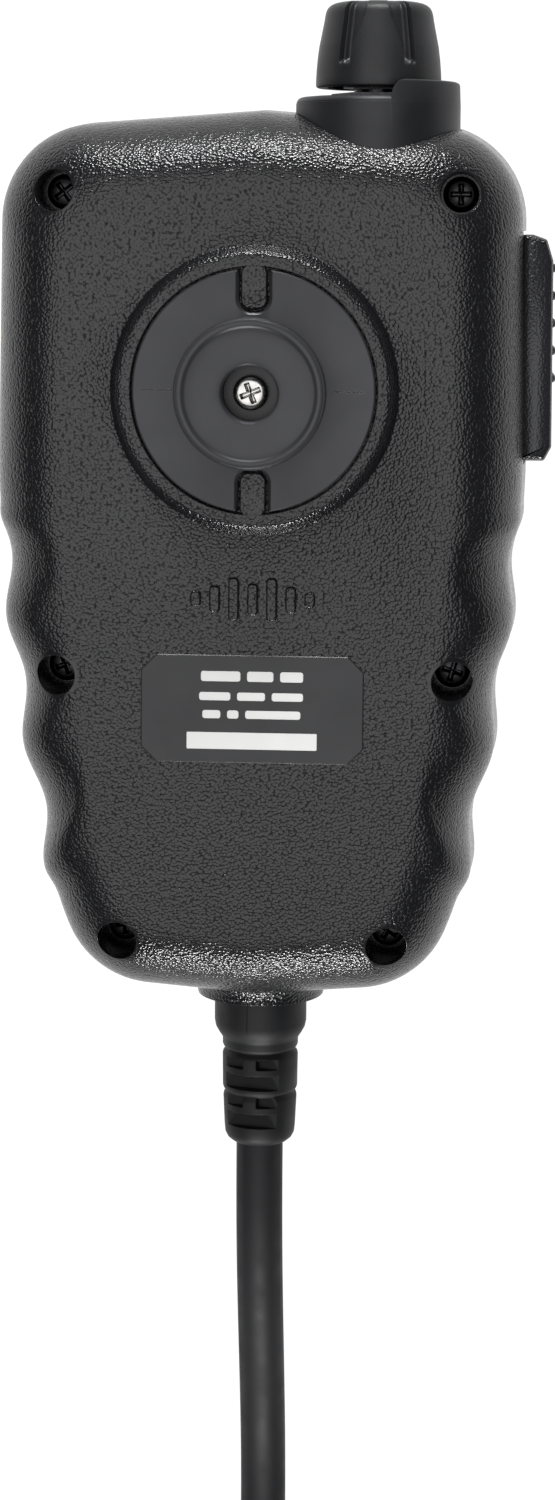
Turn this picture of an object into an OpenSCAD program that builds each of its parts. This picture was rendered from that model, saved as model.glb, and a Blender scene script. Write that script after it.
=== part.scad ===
// Hand microphone for a two-way radio, lying face down. Millimetres.
// The origin is on the front face, straight below the axis of the hang-up button.
// +Z points out of the back, +Y to the volume knob and +X to the push-to-talk side.

/* [Body] */
// Width of the body across the flat upper half
body_w = 66.6; // [60:0.2:80]
// Length from the button's axis to the knob end
top_len = 34.6; // [32:0.2:42]
// Length from the button's axis to the cord end
bottom_len = 76.6; // [72:0.1:90]
// Thickness from the front face to the back face
body_t = 34; // [31:0.5:42]
// Height of the joint between the two shells
split_z = 15; // [14:0.5:16]
// Wall thickness of both shells
wall = 2; // [1.6:0.1:2.4]
// How far the rounded back edge reaches in from the side
shoulder_in = 9; // [7:0.5:10]
// Height of the rounded back edge
shoulder_h = 11; // [9:0.5:12]

/* [Finger grooves] */
// Depth of a finger groove to each side of the plain outline
groove_a = 0.7; // [0.2:0.05:1.2]
// Distance from one finger groove to the next
groove_pitch = 16; // [14:0.5:18]

/* [Hang-up button] */
// Diameter of the button's head
button_d = 18; // [15:0.5:20]
// Diameter of the button's neck
neck_d = 11; // [8:0.5:12]
// Height of the gap that the hang-up clip slides into
neck_gap = 4.4; // [3:0.1:6]
// Thickness of the button's head
button_t = 2.6; // [2:0.1:4]
// Diameter of the round flange under the button
flange_d = 29.2; // [26:0.2:30]
// Thickness of the flange, which is the height of the round pad around it
flange_t = 1.6; // [1.2:0.1:2.4]
// Diameter of the pad's foot
pad_d = 34.4; // [32:0.2:38]

/* [Case screws] */
// Diameter of a case screw's shank
screw_d = 2.6; // [2:0.1:3]
// Diameter of a case screw's head
screw_head_d = 4.4; // [4:0.1:4.6]
// Diameter of the deep hole that leads to a screw head
access_d = 5; // [4.8:0.1:5.4]

/* [Knob] */
// Diameter of the volume knob at its foot
knob_d = 15.4; // [13:0.1:15.8]
// Diameter of the volume knob at its outer end
knob_top_d = 12.8; // [11:0.1:14]
// Length of the volume knob
knob_h = 10.4; // [9:0.1:14]
// Diameter of the guard collar around the knob
collar_d = 20.2; // [19.6:0.1:22]

/* [Push-to-talk] */
// Length of the push-to-talk lever
lever_len = 27.8; // [24:0.2:28]
// Width of the lever across the body's thickness
lever_w = 15.2; // [12:0.2:16]
// How far the lever stands out of the side
lever_out = 2.6; // [1.5:0.1:4]

/* [Keys and display] */
// Width of a key
key_w = 11; // [9:0.1:11.4]
// Height of a key
key_h = 6.5; // [5:0.1:7]
// Travel of a key
key_travel = 0.8; // [0.4:0.1:0.9]
// Width of the display window
window_w = 44; // [36:0.5:46]
// Height of the display window
window_h = 22; // [16:0.5:22]

/* [Speaker] */
// Diameter of the loudspeaker
speaker_d = 34; // [28:0.5:36]

/* [Cord] */
// Diameter of the cord
cord_d = 6; // [4.5:0.1:6.4]
// Outer diameter of the curled part of the cord
curl_d = 19.4; // [17:0.2:22]

/* [Hidden] */
$fn = 48;
eps = 0.01;          // overrun of a cut past the face it opens
gap = 0.2;           // clearance between pieces that don't move on each other
slip = 0.1;          // clearance between a round hole and what it holds

// outline of the body
half_w = body_w / 2;
half_l = (top_len + bottom_len) / 2;
mid_y = (top_len - bottom_len) / 2;
end_bow = 2.5;               // the knob end bows out by this much
top_corner = [0.9, 2.9];     // corner at the knob end: in from the side, down from the end
top_corner_r = 12;
waist = [0.3, -13];          // where the body starts to narrow: in from the side, height
waist_r = 80;
grip = [3.1, -38];           // the middle of the finger grooves
grip_r = 70;
chin = [7.3, 13.6];          // where the narrowing steepens: in from the side, up from the end
chin_r = 45;
tail = [12.1, 1.7];          // lower corner: in from the side, up from the end
tail_r = 12;
corner_steps = 7;
groove_start_y = -14;
groove_end_y = 11.7 - bottom_len;
groove_crest_y = -28.9;
groove_fade = 4;
draft = 0.5;                 // the side leans in by this much up to the shoulder
shoulder_steps = 6;
face_z = wall;
tongue_in = 0.9;             // the tongue round the front shell's edge: in from the side
tongue_w = 0.8;
tongue_h = 1.2;

// places of the parts
z_back = body_t;
pad_top = z_back + flange_t;
head_z = pad_top + neck_gap;
button_top = head_z + button_t;
slot_w = 3.6;                // slot in the flange
slot_r = 9.5;                // the slot's inner end
button_screw_d = 2.5;
button_screw_head_d = 4.2;
button_screw_head_h = 1.8;
button_bore_d = 6.6;
button_bore_z = button_top - 4;
nut_af = 5;
nut_h = 2;
nut_z = z_back - wall - 4;
nut_boss_d = 10;

screw_spots = [
    [half_w - 8.9, top_len - 10.9], [half_w - 9.2, -35], [half_w - 16.8, 8.8 - bottom_len]
];
rear_boss_d = 8;
front_boss_d = 7;
screw_seat_z = 22;
screw_head_h = 2;
screw_tip_z = 7;

knob_x = 14.1;
knob_z = body_t - 12.5;
knob_foot_y = top_len + 2;
collar_seat_y = top_len - 6.1;
collar_top_y = top_len + 0.8;
guard_top_y = top_len + 2.7;
guard_x = knob_x + 2.6;
nut_pocket_d = 13.5;
nut_pocket_y = top_len - 2;
nut_pocket_h = 3.3;          // the nut stands a little out of its pocket
pot_af = 10;
bushing_d = 7;
shaft_d = 6;
shaft_flat = 1.5;
pot_wall_y = collar_seat_y - wall;
pot_front_y = pot_wall_y - 1.5;
pot_w = 11.5;
pot_len = 7;

lever_y1 = 18.9;
lever_y0 = lever_y1 - lever_len;
lever_z = split_z;
lever_out_x = half_w + lever_out;
lever_in_x = half_w - 1.3;
lever_play = 0.5;
pivot_x = half_w - 2.3;
pivot_y = lever_y0 + 2.9;
pin_d = 2;
lug_t = 2.6;
press_y = 7;
pad_x1 = half_w - 3.9;
pad_len = 2.2;
switch_x1 = half_w - 8.7;
switch_len = 4;
switch_travel = 0.9;

board_z = 5.6;
board_t = 1.6;
board_top = board_z + board_t;
window_y = 17.5;
window_t = 1.2;
window_ledge = 2;
window_seat_z = 1.4;
key_xs = [-14, 0, 14];
key_ys = [-10, -20];
key_face_z = 0.3;
key_lip = 0.7;
key_end_z = board_z - key_travel - gap;
mat_w = 44;
mat_y = [-25.5, -4.5];
mat_z = [3.3, 4.1];
board_screw_spots = [[25, 12], [25, -26]];
mic_spot = [-16, -30];

speaker_y = -51;
speaker_z = face_z + 0.3;

boot_z = split_z;
boot_d = 11.8;
boot_tip_d = 8.8;
boot_mid_d = 9.6;
boot_flange_d = 14.4;
boot_in_y = -bottom_len + 4.4;
boot_out_y = -bottom_len - 21.2;
socket_d = 16.4;
socket_out = 1.6;
crimp_len = 4;
lead_in_y = -60;
wire_w = 0.9;
wire_xs = [-2, -0.7, 0.7, 2];

// route of the straight cord from the strain relief to the curl, laid on the surface
cord_points = [
    [0, -97.8, 15], [0, -102, 15], [0, -107, 14.7], [0, -112, 13.9], [0, -117, 12.7],
    [0, -122, 11.1], [0, -127, 9.3], [0, -132, 7.5], [0, -137, 5.8], [0, -142, 4.4],
    [0, -147, 3.5], [0, -153, 3.1], [0, -159, 3.3], [0, -165, 3.8], [0, -168.5, 4], [0, -172, 4]
];
// route of the curl's axis: out, round a bend and back
curl_z = curl_d / 2 + 1;
curl_start_y = -172;
curl_turn_y = -262;
curl_end_y = -180;
curl_bend_r = 23;
// route of the tail from the curl to the plug
tail_points = [
    [46, -180, 4], [46, -176.5, 4], [46, -172, 3.6], [45.1, -167.4, 3.2], [42.5, -163.5, 3.1],
    [38.6, -160.9, 3.1], [34, -160, 3.1], [29.4, -160.9, 3.1], [25.5, -163.5, 3.1],
    [22.9, -167.4, 3.1], [22, -172, 3.1], [22, -178, 3.1], [22, -184, 3.2], [22, -190, 3.5],
    [22, -196, 3.8], [22, -202, 4], [22, -208, 4]
];
tie_y = -256;
tie_w = 12;
tie_t = 0.9;

plug_x = 22;
plug_y = -227;               // where the plug's body meets its boot
plug_z = 6.6;
plug_w = 11.7;
plug_len = 21.5;
plug_boot_len = 19;
plug_boot_h = 8.2;
latch_t = 1;
latch_w = 6;

black = [0.13, 0.13, 0.14];
rubber = [0.2, 0.2, 0.21];
steel = [0.75, 0.75, 0.74];
green = [0.05, 0.3, 0.16];

// ---------- outline ----------

function unit(v) = v / norm(v);

// the round of radius r at corner b of the path a, b, c
function corner(a, b, c, r) =
    let (
        u = unit(a - b),
        v = unit(c - b),
        half = acos(u * v) / 2,
        centre = b + unit(u + v) * r / sin(half),
        from = b + u * r / tan(half) - centre,
        to = b + v * r / tan(half) - centre,
        a0 = atan2(from.y, from.x),
        turn = (atan2(to.y, to.x) - a0 + 540) % 360 - 180
    )
    [for (k = [0:corner_steps]) centre + r * [cos(a0 + turn * k / corner_steps),
                                              sin(a0 + turn * k / corner_steps)]];

// the points between p and q, n steps apart
function between(p, q, n) = [for (k = [1:n - 1]) p + (q - p) * k / n];

// the right-hand side of the outline, from the knob end to the cord end
side_corners = [
    [0, top_len - top_corner.y + end_bow], [half_w - top_corner.x, top_len - top_corner.y],
    [half_w - waist.x, waist.y], [half_w - grip.x, grip.y],
    [half_w - chin.x, chin.y - bottom_len], [half_w - tail.x, tail.y - bottom_len],
    [0, -bottom_len]
];
side_radii = [0, top_corner_r, waist_r, grip_r, chin_r, tail_r];
rounds = [for (k = [1:5])
    corner(side_corners[k - 1], side_corners[k], side_corners[k + 1], side_radii[k])];
side = concat(
    [side_corners[0]], rounds[0], rounds[1],
    between(rounds[1][corner_steps], rounds[2][0], 9), rounds[2],
    between(rounds[2][corner_steps], rounds[3][0], 9), rounds[3], rounds[4],
    [side_corners[6]]
);

function fade(t) = let (u = max(0, min(1, t))) u * u * (3 - 2 * u);
function groove(y) =
    groove_a * cos(360 * (y - groove_crest_y) / groove_pitch)
    * fade((groove_start_y - y) / groove_fade) * fade((y - groove_end_y) / groove_fade);

grooved = [for (p = side) [p.x + groove(p.y) * (p.x > 1 ? 1 : 0), p.y]];
left_half = [for (k = [len(grooved) - 2:-1:1]) [-grooved[k].x, grooved[k].y]];
outline = concat(grooved, left_half);

// the outline drawn in from the side by d
function inset(d) = [for (p = outline)
    [p.x * (1 - d / half_w), mid_y + (p.y - mid_y) * (1 - d / half_l)]];
function ring(d, z) = [for (p = inset(d)) [p.x, p.y, z]];

// a solid through rings of equal point counts, given from the bottom up
module loft(rings) {
    n = len(rings[0]);
    m = len(rings);
    polyhedron(
        points = [for (r = rings) each r],
        faces = concat(
            [[for (i = [n - 1:-1:0]) i]],
            [for (j = [0:m - 2], i = [0:n - 1])
                [j * n + i, j * n + (i + 1) % n, (j + 1) * n + i]],
            [for (j = [0:m - 2], i = [0:n - 1])
                [j * n + (i + 1) % n, (j + 1) * n + (i + 1) % n, (j + 1) * n + i]],
            [[for (i = [0:n - 1]) (m - 1) * n + i]]
        )
    );
}

function raised(r, dz) = [for (p = r) p + [0, 0, dz]];

// a loft whose lowest and highest faces are cut flat, each as one clean face
module cut_loft(rings) {
    last = rings[len(rings) - 1];
    intersection() {
        loft(concat([raised(rings[0], -1)], rings, [raised(last, 1)]));
        box([-body_w, body_w], [-2 * bottom_len, 2 * top_len], [rings[0][0].z, last[0].z]);
    }
}

// a tube of radius r swept along points, with flat ends across the first and last steps
module swept(points, r, sides) {
    last = len(points) - 1;
    heading = [for (k = [0:last]) unit(points[min(k + 1, last)] - points[max(k - 1, 0)])];
    rings = [for (k = [0:last])
        let (
            across = unit(cross(heading[k], [0, 0, 1])),
            up = cross(across, heading[k])
        )
        [for (s = [0:sides - 1])
            points[k] + r * (across * cos(360 * (s + 0.5) / sides)
                             + up * sin(360 * (s + 0.5) / sides))]];
    loft(rings);
}

module outline_ring(outer, inner, z0, z1) {
    translate([0, 0, z0])
        linear_extrude(z1 - z0)
            difference() {
                polygon(inset(outer));
                polygon(inset(inner));
            }
}

module box(x, y, z) {
    translate([x[0], y[0], z[0]])
        cube([x[1] - x[0], y[1] - y[0], z[1] - z[0]]);
}

// a cylinder along +Y from y0 to y1
module along_y(d1, y0, y1, x = 0, z = 0, d2 = undef) {
    translate([x, y0, z])
        rotate([-90, 0, 0])
            cylinder(h = y1 - y0, d1 = d1, d2 = is_undef(d2) ? d1 : d2);
}

module along_z(d, z0, z1, x = 0, y = 0) {
    translate([x, y, z0])
        cylinder(h = z1 - z0, d = d);
}

module mirrored_pair() {
    children();
    mirror([1, 0, 0])
        children();
}

module at_screws() {
    for (p = screw_spots)
        mirrored_pair()
            translate([p.x, p.y, 0])
                children();
}

// ---------- shells ----------

module knob_pocket(d) {
    along_y(d, collar_seat_y, top_len + 5, knob_x, knob_z);
}

module lever_opening() {
    box([half_w - 5, half_w + 5], [lever_y0 - lever_play, lever_y1 + lever_play],
        [lever_z - lever_w / 2 - lever_play, lever_z + lever_w / 2 + lever_play]);
}

// the two lugs that hold the ends of the lever's pin
module pin_lugs() {
    for (s = [-1, 1])
        translate([pivot_x, pivot_y, lever_z + s * (lever_w / 2 + lever_play + lug_t / 2)])
            cube([4.4, 5, lug_t], center = true);
}

module pin_hole() {
    along_z(pin_d + 2 * slip, lever_z - lever_w / 2 - lever_play - lug_t + 0.6,
            lever_z + lever_w / 2 + lever_play + lug_t - 0.6, pivot_x, pivot_y);
}

module boot_socket() {
    along_y(socket_d, -bottom_len - socket_out, -bottom_len + 7, 0, boot_z, d2 = socket_d + 2);
}

module boot_bores() {
    along_y(boot_d + 2 * slip, -bottom_len - 5, boot_in_y + 5, 0, boot_z);
    along_y(boot_flange_d + 2 * slip, boot_in_y - 2 - slip, boot_in_y + 5, 0, boot_z);
}

function shoulder(grow, t) = [for (k = [0:shoulder_steps])
    let (a = 90 * k / shoulder_steps)
    [draft + grow + shoulder_in * (1 - cos(a)),
     body_t - shoulder_h + (shoulder_h - t) * sin(a)]];

module rear_outside() {
    cut_loft(concat([ring(0, split_z)], [for (s = shoulder(0, 0)) ring(s[0], s[1])]));
}

module rear_cavity() {
    difference() {
        cut_loft(concat([ring(wall, split_z - 1)], [for (s = shoulder(wall, wall)) ring(s[0], s[1])]));
        at_screws()
            cylinder(h = body_t, d = rear_boss_d);
        along_z(nut_boss_d, nut_z - 0.5, body_t);
        along_y(collar_d + 4, pot_wall_y, top_len + 5, knob_x, knob_z);
        pin_lugs();
        boot_socket();
    }
}

// a row of plain rounded bars like a sound level, raised on the back
module wave_mark() {
    heights = [1.6, 2.8, 4.6, 3.4, 4.6, 2.8, 1.6];
    for (k = [0:6])
        translate([(k - 3) * 2.3, -25.2, z_back - eps])
            linear_extrude(0.4 + eps)
                square([1.1, heights[k]], center = true);
}

module rear_shell() {
    color(black)
        difference() {
            union() {
                difference() {
                    union() {
                        rear_outside();
                        intersection() {
                            boot_socket();
                            box([-half_w, half_w], [-bottom_len - 5, 0], [split_z, body_t]);
                        }
                    }
                    rear_cavity();
                }
                translate([0, 0, z_back - eps])
                    cylinder(h = flange_t + eps, d1 = pad_d, d2 = flange_d + 1.6);
                wave_mark();
            }
            outline_ring(tongue_in - slip, wall + 2, split_z - 1, split_z + 2 * tongue_h);
            difference() {
                along_z(flange_d + 2 * gap, z_back, pad_top + 1);
                for (s = [-1, 1])
                    translate([-(slot_w / 2 - gap), s > 0 ? slot_r + gap : -20, z_back - 1])
                        cube([slot_w - 2 * gap, 20 - slot_r - gap, 5]);
            }
            along_z(button_screw_d + 2 * slip, nut_z - 1, pad_top + 1);
            translate([0, 0, nut_z - 1])
                cylinder(h = 1 + nut_h + slip, d = (nut_af + 2 * slip) / cos(30), $fn = 6);
            at_screws() {
                along_z(screw_d + 2 * slip, split_z - 1, body_t);
                along_z(access_d, screw_seat_z, body_t + 1);
            }
            knob_pocket(collar_d + 2 * gap);
            along_y(bushing_d + 2 * slip, pot_wall_y - 1, collar_seat_y + 1, knob_x, knob_z);
            lever_opening();
            pin_hole();
            boot_bores();
        }
}

module front_outside() {
    cut_loft([ring(3, 0), ring(1.2, 0.8), ring(0.3, 3), ring(0, split_z)]);
}

module key_holes(grow, z0, z1) {
    for (x = key_xs, y = key_ys)
        box([x - key_w / 2 - grow, x + key_w / 2 + grow],
            [y - key_h / 2 - grow, y + key_h / 2 + grow], [z0, z1]);
}

module front_shell() {
    color(black)
        difference() {
            union() {
                difference() {
                    union() {
                        front_outside();
                        intersection() {
                            boot_socket();
                            box([-half_w, half_w], [-bottom_len - 5, 0], [0, split_z]);
                        }
                    }
                    difference() {
                        cut_loft([ring(wall + 0.3, face_z), ring(wall, split_z + 1)]);
                        at_screws()
                            cylinder(h = body_t, d = front_boss_d);
                        for (p = board_screw_spots)
                            mirrored_pair()
                                along_z(5, 0, board_z, p.x, p.y);
                        along_y(collar_d + 4, pot_wall_y, top_len + 5, knob_x, knob_z);
                        pin_lugs();
                        boot_socket();
                    }
                }
                outline_ring(tongue_in, tongue_in + tongue_w, split_z - 1, split_z + tongue_h);
            }
            along_z(1.5, -1, face_z + 1, mic_spot.x, mic_spot.y);
            box([-window_w / 2 - gap, window_w / 2 + gap],
                [window_y - window_h / 2 - gap, window_y + window_h / 2 + gap],
                [-1, window_seat_z]);
            box([-window_w / 2 + window_ledge, window_w / 2 - window_ledge],
                [window_y - window_h / 2 + window_ledge, window_y + window_h / 2 - window_ledge],
                [-1, face_z + 1]);
            key_holes(gap, -1, face_z + 1);
            for (k = [-3:3])
                box([-10 + abs(k), 10 - abs(k)], [speaker_y + 3.4 * k - 0.8, speaker_y + 3.4 * k + 0.8],
                    [-1, face_z + 1]);
            at_screws()
                along_z(screw_d + slip, screw_tip_z, split_z + 5);
            for (p = board_screw_spots)
                mirrored_pair()
                    along_z(2 + slip, face_z, board_z + 1, p.x, p.y);
            knob_pocket(collar_d + 2 * gap);
            lever_opening();
            pin_hole();
            boot_bores();
        }
}

module shell_gasket() {
    color(rubber)
        difference() {
            outline_ring(tongue_in, tongue_in + tongue_w, split_z + tongue_h, split_z + 2 * tongue_h);
            knob_pocket(collar_d + 2 * gap + 2);
            lever_opening();
            boot_socket();
        }
}

module case_screws() {
    color(steel)
        at_screws()
            difference() {
                union() {
                    along_z(screw_d, screw_tip_z + 0.5, screw_seat_z + 0.5);
                    along_z(screw_head_d, screw_seat_z, screw_seat_z + screw_head_h);
                }
                for (a = [0, 90])
                    rotate(a)
                        translate([-1.2, -0.3, screw_seat_z + 1])
                            cube([2.4, 0.6, 2]);
            }
}

// ---------- hang-up button ----------

module hangup_button() {
    color(black)
        difference() {
            union() {
                difference() {
                    along_z(flange_d, z_back, pad_top);
                    for (s = [0, 180])
                        rotate(s)
                            translate([-slot_w / 2, slot_r, z_back - 1])
                                cube([slot_w, 20, 5]);
                }
                along_z(neck_d, pad_top - 0.5, head_z + 0.5);
                rotate_extrude($fn = 64)
                    polygon([[0, head_z], [button_d / 2 - 0.5, head_z], [button_d / 2, head_z + 0.5],
                             [button_d / 2, button_top - 0.9], [button_d / 2 - 0.9, button_top],
                             [0, button_top]]);
            }
            along_z(button_bore_d, button_bore_z, button_top + 1);
            along_z(button_screw_d + 2 * slip, z_back - 1, button_top);
        }
}

module hangup_screw() {
    color(steel)
        difference() {
            union() {
                along_z(button_screw_d, nut_z - 0.4, button_bore_z + 0.5);
                along_z(button_screw_head_d, button_bore_z, button_bore_z + button_screw_head_h);
            }
            for (a = [0, 90])
                rotate(a + 20)
                    translate([-1.2, -0.35, button_bore_z + 0.8])
                        cube([2.4, 0.7, 2]);
        }
}

module hangup_nut() {
    color(steel)
        difference() {
            translate([0, 0, nut_z])
                cylinder(h = nut_h, d = nut_af / cos(30), $fn = 6);
            along_z(button_screw_d + slip, nut_z - 1, nut_z + nut_h + 1);
        }
}

module rating_label() {
    color([0.22, 0.22, 0.23])
        translate([0, -38.6, z_back])
            linear_extrude(0.2)
                polygon([[-13.5, -4.7], [-11.6, -6.6], [11.6, -6.6], [13.5, -4.7],
                         [13.5, 4.7], [11.6, 6.6], [-11.6, 6.6], [-13.5, 4.7]]);
}

// ---------- volume knob ----------

module knob_collar() {
    color(black)
        difference() {
            union() {
                along_y(collar_d, collar_seat_y, collar_top_y, knob_x, knob_z);
                intersection() {
                    along_y(collar_d, collar_top_y - 1, guard_top_y, knob_x, knob_z);
                    box([guard_x, knob_x + collar_d], [top_len - 3, top_len + 6], [0, 60]);
                }
            }
            along_y(knob_d + 0.8, collar_top_y, guard_top_y + 1, knob_x, knob_z);
            along_y(nut_pocket_d, nut_pocket_y, guard_top_y + 1, knob_x, knob_z);
            along_y(bushing_d + 2 * slip, collar_seat_y - 1, guard_top_y, knob_x, knob_z);
        }
}

module d_shaft(d, flat, y0, y1) {
    difference() {
        along_y(d, y0, y1, knob_x, knob_z);
        box([knob_x - d, knob_x + d], [y0 - 1, y1 + 1],
            [knob_z + d / 2 - flat, knob_z + d]);
    }
}

module volume_knob() {
    flutes = 5;
    color(black)
        difference() {
            translate([knob_x, knob_foot_y, knob_z])
                rotate([-90, 0, 0])
                    rotate_extrude($fn = 64)
                        polygon([[0, 0], [knob_d / 2 - 0.3, 0], [knob_d / 2, 0.3],
                                 [knob_top_d / 2 + 0.2, knob_h - 1.4],
                                 [knob_top_d / 2 - 1, knob_h], [0, knob_h]]);
            for (k = [0:flutes - 1])
                translate([knob_x, 0, knob_z])
                    rotate([0, 360 * k / flutes - 54, 0])
                        along_y(2.2, knob_foot_y + 3.4, knob_foot_y + knob_h + 1, knob_d / 2 + 0.1, 0);
            difference() {
                along_y(knob_d - 2.6, knob_foot_y - 1, knob_foot_y + 3, knob_x, knob_z);
                along_y(shaft_d + 3, knob_foot_y - 2, knob_foot_y + 4, knob_x, knob_z);
            }
            d_shaft(shaft_d + 2 * slip, shaft_flat, knob_foot_y - 1, knob_foot_y + knob_h - 3);
        }
}

module pot_shaft() {
    color(steel)
        union() {
            along_y(shaft_d, pot_front_y - 2, knob_foot_y - gap, knob_x, knob_z);
            d_shaft(shaft_d, shaft_flat + slip, knob_foot_y - gap - eps, knob_foot_y + knob_h - 3.2);
        }
}

module pot_bushing() {
    color(steel)
        difference() {
            along_y(bushing_d, pot_front_y, top_len, knob_x, knob_z);
            along_y(shaft_d + 2 * slip, pot_front_y - 1, top_len + 1, knob_x, knob_z);
        }
}

module pot_nut() {
    color(steel)
        difference() {
            translate([knob_x, nut_pocket_y, knob_z])
                rotate([-90, 0, 0])
                    cylinder(h = nut_pocket_h, d = pot_af / cos(30), $fn = 6);
            along_y(bushing_d + 2 * slip, nut_pocket_y - 1, nut_pocket_y + nut_pocket_h + 1,
                knob_x, knob_z);
        }
}

module pot_seal() {
    color(rubber)
        difference() {
            along_y(11, pot_front_y, pot_wall_y, knob_x, knob_z);
            along_y(bushing_d + 2 * slip, pot_front_y - 1, pot_wall_y + 1, knob_x, knob_z);
        }
}

module pot_body() {
    color([0.35, 0.36, 0.34])
        difference() {
            box([knob_x - pot_w / 2, knob_x + pot_w / 2], [pot_front_y - pot_len, pot_front_y],
                [knob_z - pot_w / 2, knob_z + pot_w / 2]);
            along_y(shaft_d + 2 * gap, pot_front_y - 2 - gap, pot_front_y + 1, knob_x, knob_z);
        }
}

module pot_pins() {
    color(steel)
        for (k = [-1:1])
            box([knob_x + 3.5 * k - 0.4, knob_x + 3.5 * k + 0.4],
                [pot_front_y - 4.4, pot_front_y - 3.6], [board_top, knob_z - pot_w / 2]);
}

// ---------- push-to-talk ----------

module ptt_lever() {
    z0 = lever_z - lever_w / 2;
    z1 = lever_z + lever_w / 2;
    color(black)
        difference() {
            union() {
                translate([0, 0, z0])
                    linear_extrude(lever_w)
                        polygon([[lever_in_x, lever_y0], [lever_out_x - 1.2, lever_y0],
                                 [lever_out_x, lever_y0 + 1.2], [lever_out_x, lever_y1 - 1.2],
                                 [lever_out_x - 1.2, lever_y1], [lever_in_x, lever_y1]]);
                box([pivot_x - 1.7, lever_in_x + eps], [pivot_y - 2, pivot_y + 2], [z0, z1]);
                box([half_w - 4.6, half_w - 3.5], [lever_y1 - 1.4, lever_y1 + 1.5], [z0 + 2, z1 - 2]);
                box([half_w - 3.5 - eps, lever_in_x + eps], [lever_y1 - 1.4, lever_y1], [z0 + 2, z1 - 2]);
                translate([pad_x1 + gap, press_y, lever_z])
                    rotate([0, 90, 0])
                        cylinder(h = lever_in_x - pad_x1, d = 4.6);
                for (k = [0:4])
                    translate([lever_out_x, 14.8 - 3.4 * k, lever_z])
                        cylinder(h = lever_w - 5, d = 1.1, center = true, $fn = 24);
            }
            along_z(pin_d + 2 * slip, z0 - 1, z1 + 1, pivot_x, pivot_y);
        }
}

module ptt_pin() {
    color(steel)
        along_z(pin_d, lever_z - lever_w / 2 - lever_play - 1.9,
                lever_z + lever_w / 2 + lever_play + 1.9, pivot_x, pivot_y);
}

module ptt_seal() {
    color(rubber)
        difference() {
            box([half_w - 5, half_w - 4.3], [-3, 16], [face_z, split_z + 7]);
            translate([half_w - 6, press_y, lever_z])
                rotate([0, 90, 0])
                    cylinder(h = 3, d = 6.4);
        }
}

module ptt_pad() {
    color(rubber)
        translate([pad_x1 - pad_len, press_y, lever_z])
            rotate([0, 90, 0])
                cylinder(h = pad_len, d = 5.4);
}

module ptt_plunger() {
    color([0.85, 0.85, 0.8])
        translate([switch_x1 - 2.6, press_y, lever_z])
            rotate([0, 90, 0])
                cylinder(h = pad_x1 - pad_len - switch_x1 + 2.6, d = 3);
}

module ptt_switch() {
    color([0.2, 0.2, 0.22])
        difference() {
            box([switch_x1 - switch_len, switch_x1], [press_y - 3, press_y + 3],
                [lever_z - 3, lever_z + 3]);
            translate([switch_x1 - 2.6 - switch_travel - gap, press_y, lever_z])
                rotate([0, 90, 0])
                    cylinder(h = 6, d = 3 + 2 * slip);
        }
}

module ptt_board() {
    color(green)
        box([switch_x1 - switch_len - 1.2, switch_x1 - switch_len], [-3, 16], [board_top, 21]);
}

// ---------- front face ----------

module display_window() {
    color([0.05, 0.05, 0.06])
        box([-window_w / 2, window_w / 2], [window_y - window_h / 2, window_y + window_h / 2],
            [window_seat_z - window_t, window_seat_z]);
}

module display_module() {
    color([0.6, 0.62, 0.6])
        box([-window_w / 2 + window_ledge, window_w / 2 - window_ledge],
            [window_y - window_h / 2 - 0.5, window_y + window_h / 2 + 0.5], [face_z, board_z]);
}

module keypad_mat() {
    color([0.3, 0.3, 0.32])
        difference() {
            box([-mat_w / 2, mat_w / 2], mat_y, [face_z, board_z]);
            key_holes(key_lip + gap, 0, board_z + 1);
            for (z = [[face_z - 1, mat_z[0]], [mat_z[1], board_z + 1]])
                box([-mat_w / 2 + 1, mat_w / 2 - 1], [mat_y[0] + 0.8, mat_y[1] - 0.8], z);
        }
}

module key(column, row) {
    x = key_xs[column];
    y = key_ys[row];
    color([0.24, 0.24, 0.26])
        union() {
            box([x - key_w / 2, x + key_w / 2], [y - key_h / 2, y + key_h / 2], [key_face_z, key_end_z]);
            box([x - key_w / 2 - key_lip, x + key_w / 2 + key_lip],
                [y - key_h / 2 - key_lip, y + key_h / 2 + key_lip], [face_z + 0.1, face_z + 1]);
        }
}

module key_up() { key(0, 0); }
module key_menu() { key(1, 0); }
module key_scan() { key(2, 0); }
module key_down() { key(0, 1); }
module key_mode() { key(1, 1); }
module key_light() { key(2, 1); }

// ---------- speaker and microphone ----------

module speaker_mesh() {
    color([0.1, 0.1, 0.1])
        along_z(speaker_d - 3, face_z, speaker_z, 0, speaker_y);
}

module speaker_frame() {
    color([0.55, 0.55, 0.55])
        difference() {
            along_z(speaker_d, speaker_z, speaker_z + 5.5, 0, speaker_y);
            along_z(speaker_d - 4, speaker_z - 1, speaker_z + 4.5, 0, speaker_y);
            along_z(16.4, speaker_z, speaker_z + 7, 0, speaker_y);
        }
}

module speaker_cone() {
    r = speaker_d / 2 - 2;
    color([0.16, 0.15, 0.14])
        translate([0, speaker_y, speaker_z])
            rotate_extrude($fn = 64)
                polygon([[0, 3.1], [4.5, 3.1], [r - 2, 0.7], [r, 0.7], [r, 1.2], [r - 2, 1.2],
                         [4.5, 3.6], [0, 3.6]]);
}

module speaker_magnet() {
    color([0.3, 0.3, 0.31])
        along_z(16, speaker_z + 4.3, speaker_z + 9, 0, speaker_y);
}

module mic_boot() {
    color(rubber)
        difference() {
            along_z(8.4, face_z, 5.2, mic_spot.x, mic_spot.y);
            along_z(6 + 2 * slip, face_z + 0.5, 6, mic_spot.x, mic_spot.y);
            along_z(1.5, 0, 6, mic_spot.x, mic_spot.y);
        }
}

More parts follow.
